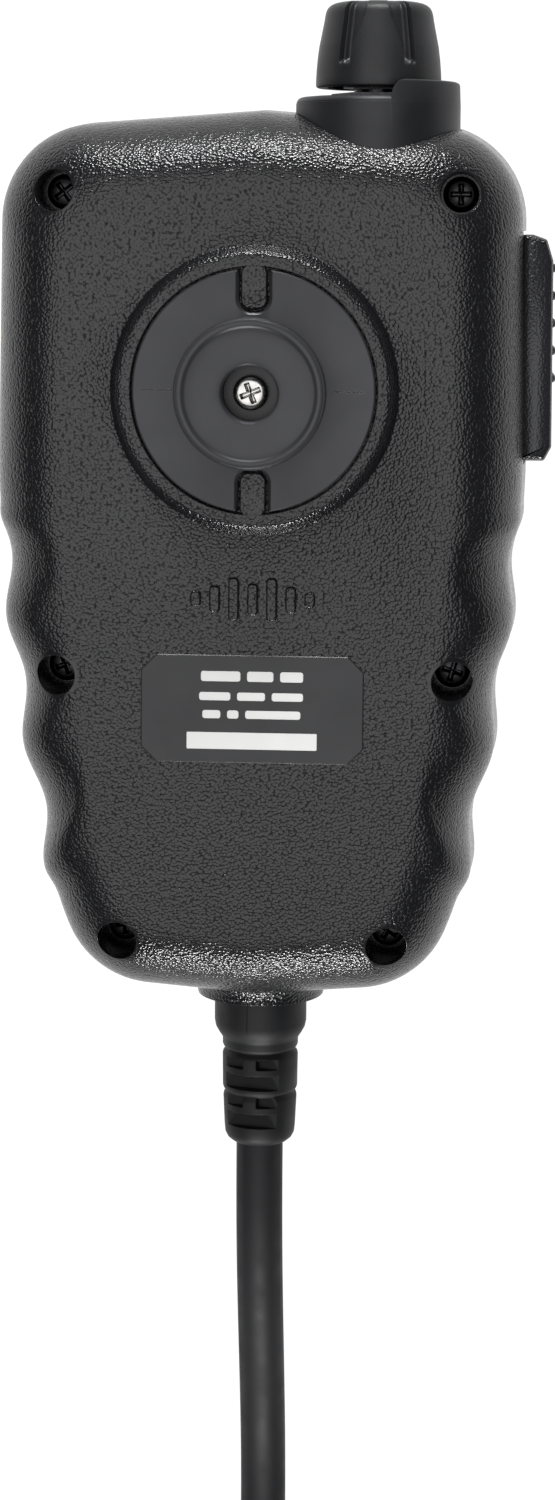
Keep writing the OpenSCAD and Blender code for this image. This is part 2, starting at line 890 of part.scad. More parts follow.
module mic_capsule() {
    color(steel)
        along_z(6, face_z + 0.6, 5, mic_spot.x, mic_spot.y);
}

// ---------- boards ----------

module main_board() {
    color(green)
        difference() {
            translate([0, 0, board_z])
                linear_extrude(board_t)
                    polygon([[-28, -30.5], [28, -30.5], [28, 18.5], [20, 18.5], [20, 27],
                             [-20, 27], [-20, 18.5], [-28, 18.5]]);
            for (p = board_screw_spots)
                mirrored_pair()
                    along_z(2.2, 0, 20, p.x, p.y);
        }
}

module board_screws() {
    color(steel)
        for (p = board_screw_spots)
            mirrored_pair() {
                along_z(2, face_z + 0.4, board_top + 0.5, p.x, p.y);
                along_z(3.6, board_top, board_top + 1.4, p.x, p.y);
            }
}

module board_chips() {
    color([0.08, 0.08, 0.09]) {
        box([-14, -5], [-4, 5], [board_top, board_top + 1.2]);
        box([3, 9], [-9, -3], [board_top, board_top + 1]);
        box([-16, -9], [10, 15], [board_top, board_top + 1.4]);
        box([-12, -8], [-17, -12], [board_top, board_top + 1]);
        along_z(5, board_top, board_top + 5.4, -19, -10);
        along_z(4, board_top, board_top + 4.6, 12, -18);
    }
}

module cable_header() {
    color([0.85, 0.83, 0.75])
        box([-5, 5], [-29, -24], [board_top, board_top + 5]);
}

// ---------- cord end of the body ----------

module strain_relief() {
    y0 = boot_out_y + 19.5;
    pitch = 4.9;
    color(rubber)
        difference() {
            union() {
                along_y(boot_flange_d, boot_in_y - 2, boot_in_y, 0, boot_z);
                along_y(boot_d, y0 - 4.4, boot_in_y - 2 + eps, 0, boot_z);
                along_y(boot_mid_d, y0 - 6, y0 - 4.4 + eps, 0, boot_z, d2 = boot_d);
                along_y(boot_tip_d, boot_out_y, y0 - 6 + eps, 0, boot_z, d2 = boot_mid_d);
            }
            along_y(cord_d, boot_out_y - 1, boot_in_y + 1, 0, boot_z);
            for (k = [0:1], s = [-1, 1]) {
                box([s > 0 ? 0.8 : -8, s > 0 ? 8 : -0.8],
                    [y0 - 8.6 - pitch * k, y0 - 7.4 - pitch * k], [boot_z + 3.4, boot_z + 9]);
                box([s > 0 ? 0.8 : -8, s > 0 ? 8 : -0.8],
                    [y0 - 8.6 - pitch * k, y0 - 7.4 - pitch * k], [boot_z - 9, boot_z - 3.4]);
            }
            for (k = [0:1], s = [-1, 1])
                translate([0, y0 - 10.4 - pitch * k, boot_z + s * 6.4])
                    cube([6.8, 1.5, 6], center = true);
        }
}

module cord_crimp() {
    color(steel)
        difference() {
            along_y(cord_d + 2.4, boot_in_y, boot_in_y + crimp_len, 0, boot_z);
            along_y(cord_d, boot_in_y - 1, boot_in_y + crimp_len + 1, 0, boot_z);
        }
}

module cord_lead() {
    color(rubber)
        along_y(cord_d, boot_out_y, lead_in_y, 0, boot_z);
}

module cord_wires() {
    color([0.7, 0.25, 0.15])
        for (x = wire_xs)
            translate([x + wire_w / 2, 0, 0])
                rotate([0, -90, 0])
                    linear_extrude(wire_w)
                        polygon([[boot_z - 0.5, lead_in_y], [boot_z + 0.5, lead_in_y],
                                 [boot_z + 0.5, -26], [board_top + 5, -26],
                                 [board_top + 5, -27], [boot_z - 0.5, -27]]);
}

// ---------- cord, curl and plug ----------

module cord_run() {
    color(rubber)
        swept(cord_points, cord_d / 2, 10);
}

curl_route = concat(
    [for (k = [0:4]) [0, curl_start_y + (curl_turn_y - curl_start_y) * k / 4, curl_z]],
    [for (a = [15:15:165])
        [curl_bend_r * (1 - cos(a)), curl_turn_y - curl_bend_r * sin(a), curl_z]],
    [for (k = [0:4])
        [2 * curl_bend_r, curl_turn_y + (curl_end_y - curl_turn_y) * k / 4, curl_z]]
);

module curly_cord() {
    color(rubber)
        swept(curl_route, curl_d / 2, 12);
}

module cord_tail() {
    color(rubber)
        swept(tail_points, cord_d / 2, 10);
}

module cord_tie() {
    r = curl_d / 2 + slip;
    color([0.1, 0.1, 0.1])
        translate([0, tie_y + tie_w / 2, curl_z])
            rotate([90, 0, 0])
                linear_extrude(tie_w)
                    difference() {
                        tie_outline(r + tie_t);
                        tie_outline(r);
                    }
}

module tie_outline(r) {
    circle(r);
    translate([2 * curl_bend_r, 0])
        circle(r);
    translate([0, -r])
        square([2 * curl_bend_r, 2 * r]);
}

module plug_boot() {
    color(rubber)
        difference() {
            box([plug_x - 6.4, plug_x + 6.4], [plug_y, plug_y + plug_boot_len], [0, plug_boot_h]);
            for (s = [-1, 1])
                translate([plug_x + s * 8.2, plug_y + plug_boot_len + 1, plug_boot_h / 2])
                    rotate([0, 0, -s * 14])
                        cube([5, 26, 12], center = true);
        }
}

module plug_body() {
    color([0.8, 0.82, 0.84])
        difference() {
            box([plug_x - plug_w / 2, plug_x + plug_w / 2], [plug_y - plug_len, plug_y], [0, plug_z]);
            for (k = [0:7])
                box([plug_x + (k - 3.5) * 1.02 - 0.2, plug_x + (k - 3.5) * 1.02 + 0.2],
                    [plug_y - plug_len - 1, plug_y - plug_len + 5], [-1, 2.2]);
        }
}

module plug_contacts() {
    color([0.83, 0.66, 0.3])
        for (k = [0:7])
            box([plug_x + (k - 3.5) * 1.02 - 0.15, plug_x + (k - 3.5) * 1.02 + 0.15],
                [plug_y - plug_len + 0.4, plug_y - plug_len + 5], [0.6, 2.2]);
}

// the springy tab on the plug, in one piece from its root at the plug's nose
module plug_latch() {
    color([0.8, 0.82, 0.84])
        translate([plug_x - latch_w / 2, plug_y - plug_len, plug_z + slip])
            rotate([90, 0, 90])
                linear_extrude(latch_w)
                    polygon([[0.4, 0], [2, 0], [14, 1.9], [14, 1.9 + latch_t], [9, 1.9 + latch_t],
                             [1.6, latch_t + 0.2]]);
}

rear_shell();
front_shell();
shell_gasket();
case_screws();
hangup_button();
hangup_screw();
hangup_nut();
rating_label();
knob_collar();
volume_knob();
pot_shaft();
pot_bushing();
pot_nut();
pot_seal();
pot_body();
pot_pins();
ptt_lever();
ptt_pin();
ptt_seal();
ptt_plunger();
ptt_pad();
ptt_switch();
ptt_board();
display_window();
display_module();
keypad_mat();
key_up();
key_down();
key_menu();
key_scan();
key_mode();
key_light();
speaker_mesh();
speaker_frame();
speaker_cone();
speaker_magnet();
mic_boot();
mic_capsule();
main_board();
board_screws();
board_chips();
cable_header();
strain_relief();
cord_crimp();
cord_lead();
cord_wires();
cord_run();
curly_cord();
cord_tail();
cord_tie();
plug_boot();
plug_body();
plug_contacts();
plug_latch();
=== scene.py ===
"""The looks of the hand microphone. Millimetres in the sizes, metres in the meshes."""
import math

import bmesh
import bpy
from mathutils import Matrix, Vector


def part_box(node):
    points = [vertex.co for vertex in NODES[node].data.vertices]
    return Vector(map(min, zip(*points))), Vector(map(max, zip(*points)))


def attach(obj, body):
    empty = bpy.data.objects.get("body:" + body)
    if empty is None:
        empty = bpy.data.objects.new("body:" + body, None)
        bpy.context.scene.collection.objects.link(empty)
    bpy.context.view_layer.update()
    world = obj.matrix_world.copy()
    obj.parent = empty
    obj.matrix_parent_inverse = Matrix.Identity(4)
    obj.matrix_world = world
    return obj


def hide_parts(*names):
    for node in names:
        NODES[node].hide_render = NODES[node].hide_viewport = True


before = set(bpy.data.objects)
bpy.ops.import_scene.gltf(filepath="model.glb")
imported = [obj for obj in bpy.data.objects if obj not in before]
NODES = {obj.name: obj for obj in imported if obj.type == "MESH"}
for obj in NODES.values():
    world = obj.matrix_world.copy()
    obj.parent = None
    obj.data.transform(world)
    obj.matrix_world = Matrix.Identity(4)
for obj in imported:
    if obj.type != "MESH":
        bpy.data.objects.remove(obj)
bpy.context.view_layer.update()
MM = 0.001


def span(node):
    """A CAD node's lowest and highest corners at rest, in millimetres."""
    low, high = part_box(node)
    return low / MM, high / MM


def centre_of(node):
    low, high = span(node)
    return (low + high) / 2


# ---------- places and sizes ----------

rear_low, rear_high = span("rear_shell")
SPLIT = rear_low.z
BACK = span("rating_label")[0].z
PAD_TOP = rear_high.z
TOP = span("knob_collar")[0].y + 6.1
SOCKET_OUT = 1.6
BOTTOM = -rear_low.y - SOCKET_OUT
HALF_W = 33.3
HALF_L = (TOP + BOTTOM) / 2
MID_Y = (TOP - BOTTOM) / 2
WALL = 2
DRAFT = 0.5
SHOULDER_IN = 9
SHOULDER_H = 11
GROOVE_DEPTH = 0.7
GROOVE_PITCH = 16
GROOVE_CREST_Y = -28.9
GROOVE_START_Y = -14
GROOVE_FADE = 4
SCREWS = [(sx * x, y) for x, y in ((24.4, 23.7), (24.1, -35), (16.5, 8.8 - BOTTOM)) for sx in (1, -1)]
SCREW_SEAT = 22
ACCESS_R = 2.5
KNOB_X, _, KNOB_Z = centre_of("volume_knob")
KNOB_FOOT = span("volume_knob")[0].y
KNOB_TOP = span("volume_knob")[1].y
COLLAR_SEAT, COLLAR_GUARD = span("knob_collar")[0].y, span("knob_collar")[1].y
COLLAR_TOP = TOP + 0.8
COLLAR_R = 10.1
LEVER_LOW, LEVER_HIGH = span("ptt_lever")
BOOT_Z = centre_of("strain_relief").z
BOOT_IN, BOOT_OUT = span("strain_relief")[1].y, span("strain_relief")[0].y
BOOT_TURN = -13
HEAD_LOW = PAD_TOP + 4.4
HEAD_TOP = span("hangup_button")[1].z
FLANGE_R = 14.6
SLOT_W = 3.6
SLOT_IN = 9.5
CORD_D = 6


# ---------- camera ----------

def make_camera():
    """Looks down on the back from beyond the knob end, a little turned."""
    lean_y, lean_x, roll = math.radians(5.07), math.radians(3.77), math.radians(0.46)
    back = Vector((math.tan(lean_x), math.tan(lean_y), 1)).normalized()
    right = Vector((0, 1, 0)).cross(back).normalized()
    up = back.cross(right)
    turned_right = right * math.cos(roll) + up * math.sin(roll)
    turned_up = up * math.cos(roll) - right * math.sin(roll)
    camera = bpy.data.objects.new("camera", bpy.data.cameras.new("camera"))
    bpy.context.scene.collection.objects.link(camera)
    axes = Matrix((turned_right, turned_up, back)).transposed().to_4x4()
    camera.matrix_world = Matrix.Translation(Vector((25.5, 17.9, 377)) * MM) @ axes
    camera.data.sensor_width = 36
    camera.data.lens = 68.95
    camera.data.shift_y = -0.17
    camera.data.clip_start = 0.01
    bpy.context.scene.camera = camera


make_camera()


# ---------- materials ----------

class Look:
    """A Principled material, with short calls for the patterns that drive it."""

    def __init__(self, name, colour, roughness, **sockets):
        self.material = bpy.data.materials.new(name)
        self.material.use_nodes = True
        self.tree = self.material.node_tree
        self.shader = self.tree.nodes["Principled BSDF"]
        self.colour = colour
        self.fill(self.shader, {"Base Color": (*colour, 1), "Roughness": roughness})
        self.fill(self.shader, {name.replace("_", " "): value for name, value in sockets.items()})
        self.place = self.node("ShaderNodeTexCoord").outputs["Object"]
        self.normal = None

    def fill(self, node, values):
        for name, value in values.items():
            if isinstance(value, bpy.types.NodeSocket):
                self.tree.links.new(value, node.inputs[name])
            else:
                node.inputs[name].default_value = value

    def node(self, kind, values=(), **settings):
        made = self.tree.nodes.new(kind)
        for name, value in settings.items():
            setattr(made, name, value)
        self.fill(made, dict(values))
        return made

    def math(self, operation, a, b=0.0, c=0.0):
        made = self.node("ShaderNodeMath", operation=operation)
        self.fill(made, {0: a, 1: b, 2: c})
        return made.outputs[0]

    def noise(self, size, detail=2.0, stretch=(1, 1, 1)):
        """Noise with features of about that size in millimetres."""
        scaled = self.node("ShaderNodeVectorMath", {0: self.place, 1: stretch},
                           operation="MULTIPLY").outputs[0]
        values = {"Vector": scaled, "Scale": 1 / (size * MM), "Detail": detail}
        return self.node("ShaderNodeTexNoise", values).outputs["Fac"]

    def pebbles(self, size, softness=0.5):
        """Rounded cells of that size in millimetres, highest in their middles."""
        values = {"Vector": self.place, "Scale": 1 / (size * MM), "Smoothness": softness}
        cells = self.node("ShaderNodeTexVoronoi", values, feature="SMOOTH_F1")
        away = cells.outputs["Distance"]
        return self.math("SUBTRACT", 1.0, self.math("MULTIPLY", away, away))

    def ramp(self, value, low, high, to_low, to_high):
        values = {"Value": value, "From Min": low, "From Max": high, "To Min": to_low, "To Max": to_high}
        return self.node("ShaderNodeMapRange", values).outputs[0]

    def soften(self, radius):
        """Rounds the sharp edges in the shading."""
        self.normal = self.node("ShaderNodeBevel", {"Radius": radius * MM}, samples=4).outputs[0]
        self.fill(self.shader, {"Normal": self.normal})
        return self

    def bump(self, height, depth, strength=1.0):
        """Raises the surface by up to depth millimetres where height is 1."""
        values = {"Height": height, "Distance": depth * MM, "Strength": strength}
        if self.normal:
            values["Normal"] = self.normal
        self.normal = self.node("ShaderNodeBump", values).outputs[0]
        self.fill(self.shader, {"Normal": self.normal})
        return self

    def vary_roughness(self, value, low, high):
        self.fill(self.shader, {"Roughness": self.ramp(value, 0.3, 0.7, low, high)})
        return self

    def vary_colour(self, value, darker, lighter):
        """Mixes two shades of the colour, given as factors of it."""
        shades = [(*[min(1, c * factor) for c in self.colour], 1) for factor in (darker, lighter)]
        share = self.ramp(value, 0.3, 0.7, 0.0, 1.0)
        mix = self.node("ShaderNodeMix", data_type="RGBA")
        self.fill(mix, {0: share, 6: shades[0], 7: shades[1]})
        self.fill(self.shader, {"Base Color": mix.outputs[2]})
        return self


def grained(name, colour, cell, depth, roughness=0.42):
    """Moulded plastic with an etched pebble grain."""
    look = Look(name, colour, roughness, Specular_IOR_Level=0.32)
    look.soften(0.12)
    pebbles = look.pebbles(cell, 0.2)
    look.vary_colour(look.noise(9, 3), 0.88, 1.12)
    look.fill(look.shader, {"Roughness": look.ramp(pebbles, 0.3, 0.9, roughness + 0.1, roughness - 0.04)})
    return look, pebbles, depth


def shell_plastic():
    look, pebbles, depth = grained("shell_plastic", (0.006, 0.0061, 0.007), 0.36, 0.09, 0.22)
    fine = look.noise(0.22, 2)
    height = look.math("MULTIPLY_ADD", fine, 0.15, pebbles)
    side = look.node("ShaderNodeSeparateXYZ", {0: look.place})
    flat = look.node("ShaderNodeCombineXYZ",
                     {0: look.math("ABSOLUTE", side.outputs[0]), 1: side.outputs[1]})
    nearest = 1.0
    for x, y in SCREWS[::2]:
        values = {0: flat.outputs[0], 1: (x * MM, y * MM, 0)}
        away = look.node("ShaderNodeVectorMath", values, operation="DISTANCE").outputs["Value"]
        nearest = look.math("MINIMUM", away, nearest)
    strength = look.ramp(nearest, (ACCESS_R + 0.15) * MM, (ACCESS_R + 0.55) * MM, 0.0, 1.0)
    look.bump(height, depth, strength)
    return look.material


def lever_plastic():
    look, pebbles, depth = grained("lever_plastic", (0.011, 0.0112, 0.0125), 0.33, 0.05, 0.28)
    look.bump(pebbles, depth)
    return look.material


def smooth_plastic(name, colour, roughness, grain=0.35, depth=0.004, edge=0.12):
    """Moulded plastic with a fine, even bloom, a little uneven in gloss and shade."""
    look = Look(name, colour, roughness, Specular_IOR_Level=0.25)
    look.soften(edge)
    look.vary_colour(look.noise(14, 3), 0.9, 1.1)
    look.vary_roughness(look.noise(6, 4), roughness - 0.05, roughness + 0.06)
    look.bump(look.noise(grain, 3), depth)
    return look.material


def matt_rubber(name, colour, roughness=0.62, depth=0.008, stretch=(1, 1, 1)):
    """Soft rubber with a dusty bloom and fine flow marks."""
    look = Look(name, colour, roughness, Specular_IOR_Level=0.2)
    look.soften(0.15)
    look.vary_colour(look.noise(11, 4), 0.86, 1.14)
    look.vary_roughness(look.noise(3, 4), roughness - 0.06, roughness + 0.06)
    look.bump(look.noise(0.3, 3, stretch), depth)
    return look.material


def metal(name, colour, roughness, stretch=(1, 1, 1)):
    """Metal with fine drag marks and a slightly uneven plating."""
    look = Look(name, colour, roughness, Metallic=1.0)
    look.soften(0.06)
    look.vary_colour(look.noise(1.5, 3), 0.82, 1.1)
    look.vary_roughness(look.noise(0.5, 3, stretch), roughness - 0.08, roughness + 0.1)
    look.bump(look.noise(0.15, 2, stretch), 0.003)
    return look.material


def woven(name, colour, pitch):
    """Cloth with crossing threads of that pitch."""
    look = Look(name, colour, 0.85, Sheen_Weight=0.25, Sheen_Roughness=0.6)
    threads = []
    for axis in ("X", "Y", "Z"):
        values = {"Vector": look.place, "Scale": 1 / (pitch * MM) / 6.2832 * 3.1416, "Distortion": 0.4}
        threads.append(look.node("ShaderNodeTexWave", values, bands_direction=axis).outputs["Fac"])
    weave = look.math("MULTIPLY", look.math("ADD", threads[0], threads[2]), threads[1])
    look.vary_colour(look.noise(2, 3), 0.7, 1.3)
    look.bump(weave, 0.1)
    return look.material


def board_green():
    look = Look("board_green", (0.012, 0.09, 0.04), 0.35, Coat_Weight=0.4)
    look.soften(0.1)
    look.vary_colour(look.noise(1.2, 1, (1, 0.2, 1)), 0.75, 1.35)
    look.bump(look.noise(0.8, 1), 0.01)
    return look.material


def clear_plastic(name, colour):
    look = Look(name, colour, 0.12, Transmission_Weight=0.75, IOR=1.5)
    look.soften(0.15)
    look.vary_roughness(look.noise(4, 3), 0.08, 0.2)
    look.bump(look.noise(2.5, 2), 0.01)
    return look.material


def display_face():
    """The display's glass, with a faint even pixel grid."""
    look = Look("display_face", (0.10, 0.12, 0.11), 0.25)
    values = {"Vector": look.place, "Scale": 1 / (1.2 * MM), "Color1": (0.06, 0.07, 0.065, 1)}
    values["Color2"] = (0.09, 0.105, 0.095, 1)
    look.fill(look.shader, {"Base Color": look.node("ShaderNodeTexChecker", values).outputs["Color"]})
    look.bump(look.noise(0.6, 2), 0.005)
    return look.material


STEEL = metal("bright_steel", (0.42, 0.415, 0.4), 0.26)
# Steel painted near black: painted shade for the deep screw wells and for the gap between the knob and its
# collar
STEEL_PAINTED_SHADE = metal("steel_painted_shade", (0.03, 0.03, 0.032), 0.3)
SHELL = shell_plastic()
LEVER = lever_plastic()
BUTTON = smooth_plastic("button_plastic", (0.020, 0.0203, 0.0225), 0.36, depth=0.002)
COLLAR = smooth_plastic("collar_plastic", (0.010, 0.0103, 0.012), 0.45)
KNOB = smooth_plastic("knob_plastic", (0.010, 0.0103, 0.0115), 0.42, 0.35, 0.02)
LABEL = smooth_plastic("label_film", (0.014, 0.0142, 0.0155), 0.36, 0.5, 0.002)
PRINT = smooth_plastic("label_print", (0.5, 0.5, 0.495), 0.5, 0.4, 0.002)
BOOT = matt_rubber("boot_rubber", (0.006, 0.0062, 0.007), 0.55)
JACKET = matt_rubber("cord_jacket", (0.007, 0.0072, 0.0082), 0.62, 0.006)
SOFT = matt_rubber("soft_rubber", (0.014, 0.014, 0.015))
KEYS = matt_rubber("key_rubber", (0.03, 0.0305, 0.033), 0.55)
MARKS = smooth_plastic("key_print", (0.4, 0.405, 0.405), 0.5)
STRAP = woven("strap_weave", (0.018, 0.018, 0.02), 0.5)
MESH = woven("speaker_cloth", (0.02, 0.02, 0.021), 0.35)
PAPER = woven("cone_paper", (0.04, 0.036, 0.032), 0.8)
WINDOW = smooth_plastic("window_plastic", (0.006, 0.006, 0.008), 0.08, 3, 0.004)
DISPLAY = display_face()
BOARD = board_green()
CHIP = smooth_plastic("chip_resin", (0.012, 0.012, 0.013), 0.5, 0.2, 0.01)
NYLON = smooth_plastic("nylon", (0.62, 0.6, 0.52), 0.4)
WIRE = matt_rubber("wire_skin", (0.35, 0.05, 0.03))
MAGNET = metal("ferrite", (0.10, 0.10, 0.11), 0.55)
BASKET = metal("plated_basket", (0.5, 0.5, 0.5), 0.35)
CAN = metal("aluminium_can", (0.75, 0.75, 0.76), 0.3)
GOLD = metal("gold_plate", (0.95, 0.68, 0.28), 0.2)
CLEAR = clear_plastic("plug_plastic", (0.80, 0.84, 0.88))

CAD_LOOKS = {
    SOFT: ["shell_gasket", "pot_seal", "ptt_seal", "ptt_pad", "mic_boot", "keypad_mat"],
    # painted shade: the pot's nut, bushing and shaft are darkened to stand for the shade in the gap under
    # the knob
    STEEL_PAINTED_SHADE: ["pot_nut", "pot_bushing", "pot_shaft"],
    STEEL: [ "pot_pins", "ptt_pin", "hangup_nut",
            "board_screws", "cord_crimp"],
    JACKET: ["cord_lead"],
    WIRE: ["cord_wires"],
    NYLON: ["cable_header", "ptt_plunger"],
    CHIP: ["pot_body", "ptt_switch", "board_chips"],
    BOARD: ["main_board", "ptt_board"],
    WINDOW: ["display_window"],
    DISPLAY: ["display_module"],
    MESH: ["speaker_mesh"],
    PAPER: ["speaker_cone"],
    BASKET: ["speaker_frame"],
    MAGNET: ["speaker_magnet"],
    CAN: ["mic_capsule"],
    CLEAR: ["plug_body", "plug_latch"],
    GOLD: ["plug_contacts"],
}


def dress_cad():
    for material, names in CAD_LOOKS.items():
        for name in names:
            NODES[name].data.materials.clear()
            NODES[name].data.materials.append(material)


dress_cad()


# ---------- shapes ----------

def solid(name, points, faces):
    """An object in metres from points in millimetres, with its faces turned outwards."""
    mesh = bpy.data.meshes.new(name)
    mesh.from_pydata([Vector(p) * MM for p in points], [], faces)
    work = bmesh.new()
    work.from_mesh(mesh)
    bmesh.ops.recalc_face_normals(work, faces=work.faces)
    work.to_mesh(mesh)
    work.free()
    made = bpy.data.objects.new(name, mesh)
    bpy.context.scene.collection.objects.link(made)
    return made


def loft(name, rings):
    """A closed solid through rings of equal point counts."""
    count = len(rings[0])
    faces = [list(range(count)), list(range((len(rings) - 1) * count, len(rings) * count))]
    for row in range(len(rings) - 1):
        for k in range(count):
            after = (k + 1) % count
            low, high = row * count, (row + 1) * count
            faces.append((low + k, low + after, high + after, high + k))
    return solid(name, [p for ring in rings for p in ring], faces)


def lathe(name, profile, at=(0, 0, 0), along="Z", steps=128, shape=None):
    """A turned solid of (radius, height) points that ends on its axis, or closes on its first point.
    shape(radius, height, angle) may change a radius."""
    points, rows = [], []
    for radius, height in profile:
        rows.append((len(points), 1 if radius == 0 else steps))
        for k in range(rows[-1][1]):
            angle = 2 * math.pi * k / steps
            r = shape(radius, height, angle) if shape and radius else radius
            across, up = r * math.sin(angle), r * math.cos(angle)
            spot = (across, up, height) if along == "Z" else (across, height, up)
            points.append(Vector(at) + Vector(spot))
    pairs = list(zip(rows, rows[1:]))
    if rows[0][1] > 1:
        pairs.append((rows[-1], rows[0]))
    faces = []
    for (low, low_count), (high, high_count) in pairs:
        for k in range(steps):
            after = (k + 1) % steps
            if low_count > 1 and high_count > 1:
                faces.append((low + k, low + after, high + after, high + k))
            elif low_count > 1:
                faces.append((low + k, low + after, high))
            else:
                faces.append((low, high + after, high + k))
    return solid(name, points, faces)


def rod(name, radius, low, high, at=(0, 0, 0), along="Z", steps=96):
    return lathe(name, [(0, low), (radius, low), (radius, high), (0, high)], at, along, steps)


def rounded_corner(before, corner, after, radius, steps=8):
    """Points along the round at a corner of a path."""
    u, v = (before - corner).normalized(), (after - corner).normalized()
    half = u.angle(v) / 2
    centre = corner + (u + v).normalized() * radius / math.sin(half)
    start = corner + u * radius / math.tan(half) - centre
    end = corner + v * radius / math.tan(half) - centre
    return [centre + start.lerp(end, k / steps).normalized() * radius for k in range(steps + 1)]


def rounded_outline(corners, radius, steps=8):
    """A closed flat outline with every corner rounded."""
    spots = [Vector(c) for c in corners]
    return [p for k, spot in enumerate(spots)
            for p in rounded_corner(spots[k - 1], spot, spots[(k + 1) % len(spots)], radius, steps)]


def rectangle(x0, x1, y0, y1):
    return [(x0, y0), (x1, y0), (x1, y1), (x0, y1)]


def drawn_in(outline, inset):
    """The anticlockwise outline moved inwards."""
    moved = []
    for k, spot in enumerate(outline):
        along = outline[(k + 1) % len(outline)] - outline[k - 1]
        moved.append(spot + Vector((-along.y, along.x)).normalized() * inset)
    return moved


def slab(name, outline, levels, turn=Matrix.Identity(4)):
    """A solid with that flat outline, drawn in by each level's inset at its height."""
    rings = [[turn @ Vector((p.x, p.y, z)) for p in drawn_in(outline, inset)] for inset, z in levels]
    return loft(name, rings)


def block(name, x, y, z, radius=0.01, turn=Matrix.Identity(4)):
    outline = rounded_outline(rectangle(*x, *y), radius, 6 if radius > 0.1 else 1)
    return slab(name, outline, [(0, z[0]), (0, z[1])], turn)


def carve(piece, tools, operation="DIFFERENCE"):
    """Cuts the tools out of a piece, or joins them to it, and removes them."""
    for tool in tools:
        step = piece.modifiers.new("carve", "BOOLEAN")
        step.operation, step.object, step.solver = operation, tool, "MANIFOLD"
    made = bpy.data.meshes.new_from_object(piece.evaluated_get(bpy.context.evaluated_depsgraph_get()))
    piece.modifiers.clear()
    piece.data = made
    for tool in tools:
        bpy.data.objects.remove(tool)
    return piece


def join(name, pieces):
    """Several separate solids as one piece."""
    work = bmesh.new()
    for piece in pieces:
        work.from_mesh(piece.data)
        bpy.data.objects.remove(piece)
    mesh = bpy.data.meshes.new(name)
    work.to_mesh(mesh)
    work.free()
    made = bpy.data.objects.new(name, mesh)
    bpy.context.scene.collection.objects.link(made)
    return made


def present(piece, material, body, nodes=(), angle=35):
    """Shades a finished piece and puts it on its body in place of CAD nodes."""
    piece.data.materials.clear()
    piece.data.materials.append(material)
    if piece.type == "MESH":
        piece.data.shade_smooth()
        piece.data.set_sharp_from_angle(angle=math.radians(angle))
    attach(piece, body)
    if nodes:
        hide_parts(*nodes)
    return piece


def fade(t):
    t = max(0.0, min(1.0, t))
    return t * t * (3 - 2 * t)


# ---------- cord ----------

# the route of the straight cord to the curl, and from the curl to the plug, as in the CAD
CORD_POINTS = [
    (0, -97.8, 15), (0, -102, 15), (0, -107, 14.7), (0, -112, 13.9), (0, -117, 12.7),
    (0, -122, 11.1), (0, -127, 9.3), (0, -132, 7.5), (0, -137, 5.8), (0, -142, 4.4),
    (0, -147, 3.5), (0, -153, 3.1), (0, -159, 3.3), (0, -165, 3.8), (0, -168.5, 4), (0, -172, 4),
]
TAIL_POINTS = [
    (46, -180, 4), (46, -176.5, 4), (46, -172, 3.6), (45.1, -167.4, 3.2), (42.5, -163.5, 3.1),
    (38.6, -160.9, 3.1), (34, -160, 3.1), (29.4, -160.9, 3.1), (25.5, -163.5, 3.1),
    (22.9, -167.4, 3.1), (22, -172, 3.1), (22, -178, 3.1), (22, -184, 3.2), (22, -190, 3.5),
    (22, -196, 3.8), (22, -202, 4), (22, -208, 4),
]
CURL_Z = 10.7
CURL_R = 6.7
CURL_START, CURL_TURN, CURL_END = -172, -262, -180
CURL_BEND = 23
RUN_PITCH, BEND_PITCH = 6.25, 8.7
CURL_RAMP = 17.4


def curl_axis(s):
    """Point and direction of the curl's axis, s millimetres along it."""
    out = CURL_START - CURL_TURN
    bend = math.pi * CURL_BEND
    if s < out:
        return Vector((0, CURL_START - s, CURL_Z)), Vector((0, -1, 0))
    if s < out + bend:
        a = (s - out) / CURL_BEND
        spot = Vector((CURL_BEND * (1 - math.cos(a)), CURL_TURN - CURL_BEND * math.sin(a), CURL_Z))
        return spot, Vector((math.sin(a), -math.cos(a), 0))
    return Vector((2 * CURL_BEND, CURL_TURN + s - out - bend, CURL_Z)), Vector((0, 1, 0))


def curl_points():
    """The helix, from a straight start at its lowest line to a straight end there."""
    out, bend = CURL_START - CURL_TURN, math.pi * CURL_BEND
    total = out + bend + CURL_END - CURL_TURN
    step, s, turned, marks = 1.7, 0.0, 0.0, []
    while s < total:
        marks.append((s, turned))
        in_bend = fade((s - out + 8) / 16) * fade((out + bend + 8 - s) / 16)
        pitch = RUN_PITCH + (BEND_PITCH - RUN_PITCH) * in_bend
        steep = math.sin(math.atan(2 * math.pi * CURL_R / pitch))
        lean = math.asin(steep * min(1.0, (s + 0.02) / CURL_RAMP, (total - s + 0.02) / CURL_RAMP))
        s += step * math.cos(lean)
        turned += step * math.sin(lean) / CURL_R
    whole = round(turned / (2 * math.pi)) * 2 * math.pi / turned
    points = []
    for s, turned in marks:
        spot, along = curl_axis(s)
        across = along.cross(Vector((0, 0, 1)))
        phase = turned * whole - math.pi / 2
        points.append(spot + CURL_R * (across * math.cos(phase) + Vector((0, 0, math.sin(phase)))))
    return points


def eased(points, between=4):
    """The points joined by a smooth curve through them."""
    spots = [Vector(p) for p in points]
    spots = [2 * spots[0] - spots[1], *spots, 2 * spots[-1] - spots[-2]]
    out = []
    for a, b, c, d in zip(spots, spots[1:], spots[2:], spots[3:]):
        for k in range(between):
            t = k / between
            out.append(0.5 * (2 * b + (c - a) * t + (2 * a - 5 * b + 4 * c - d) * t ** 2
                              + (3 * b - a - 3 * c + d) * t ** 3))
    return [*out, spots[-2]]


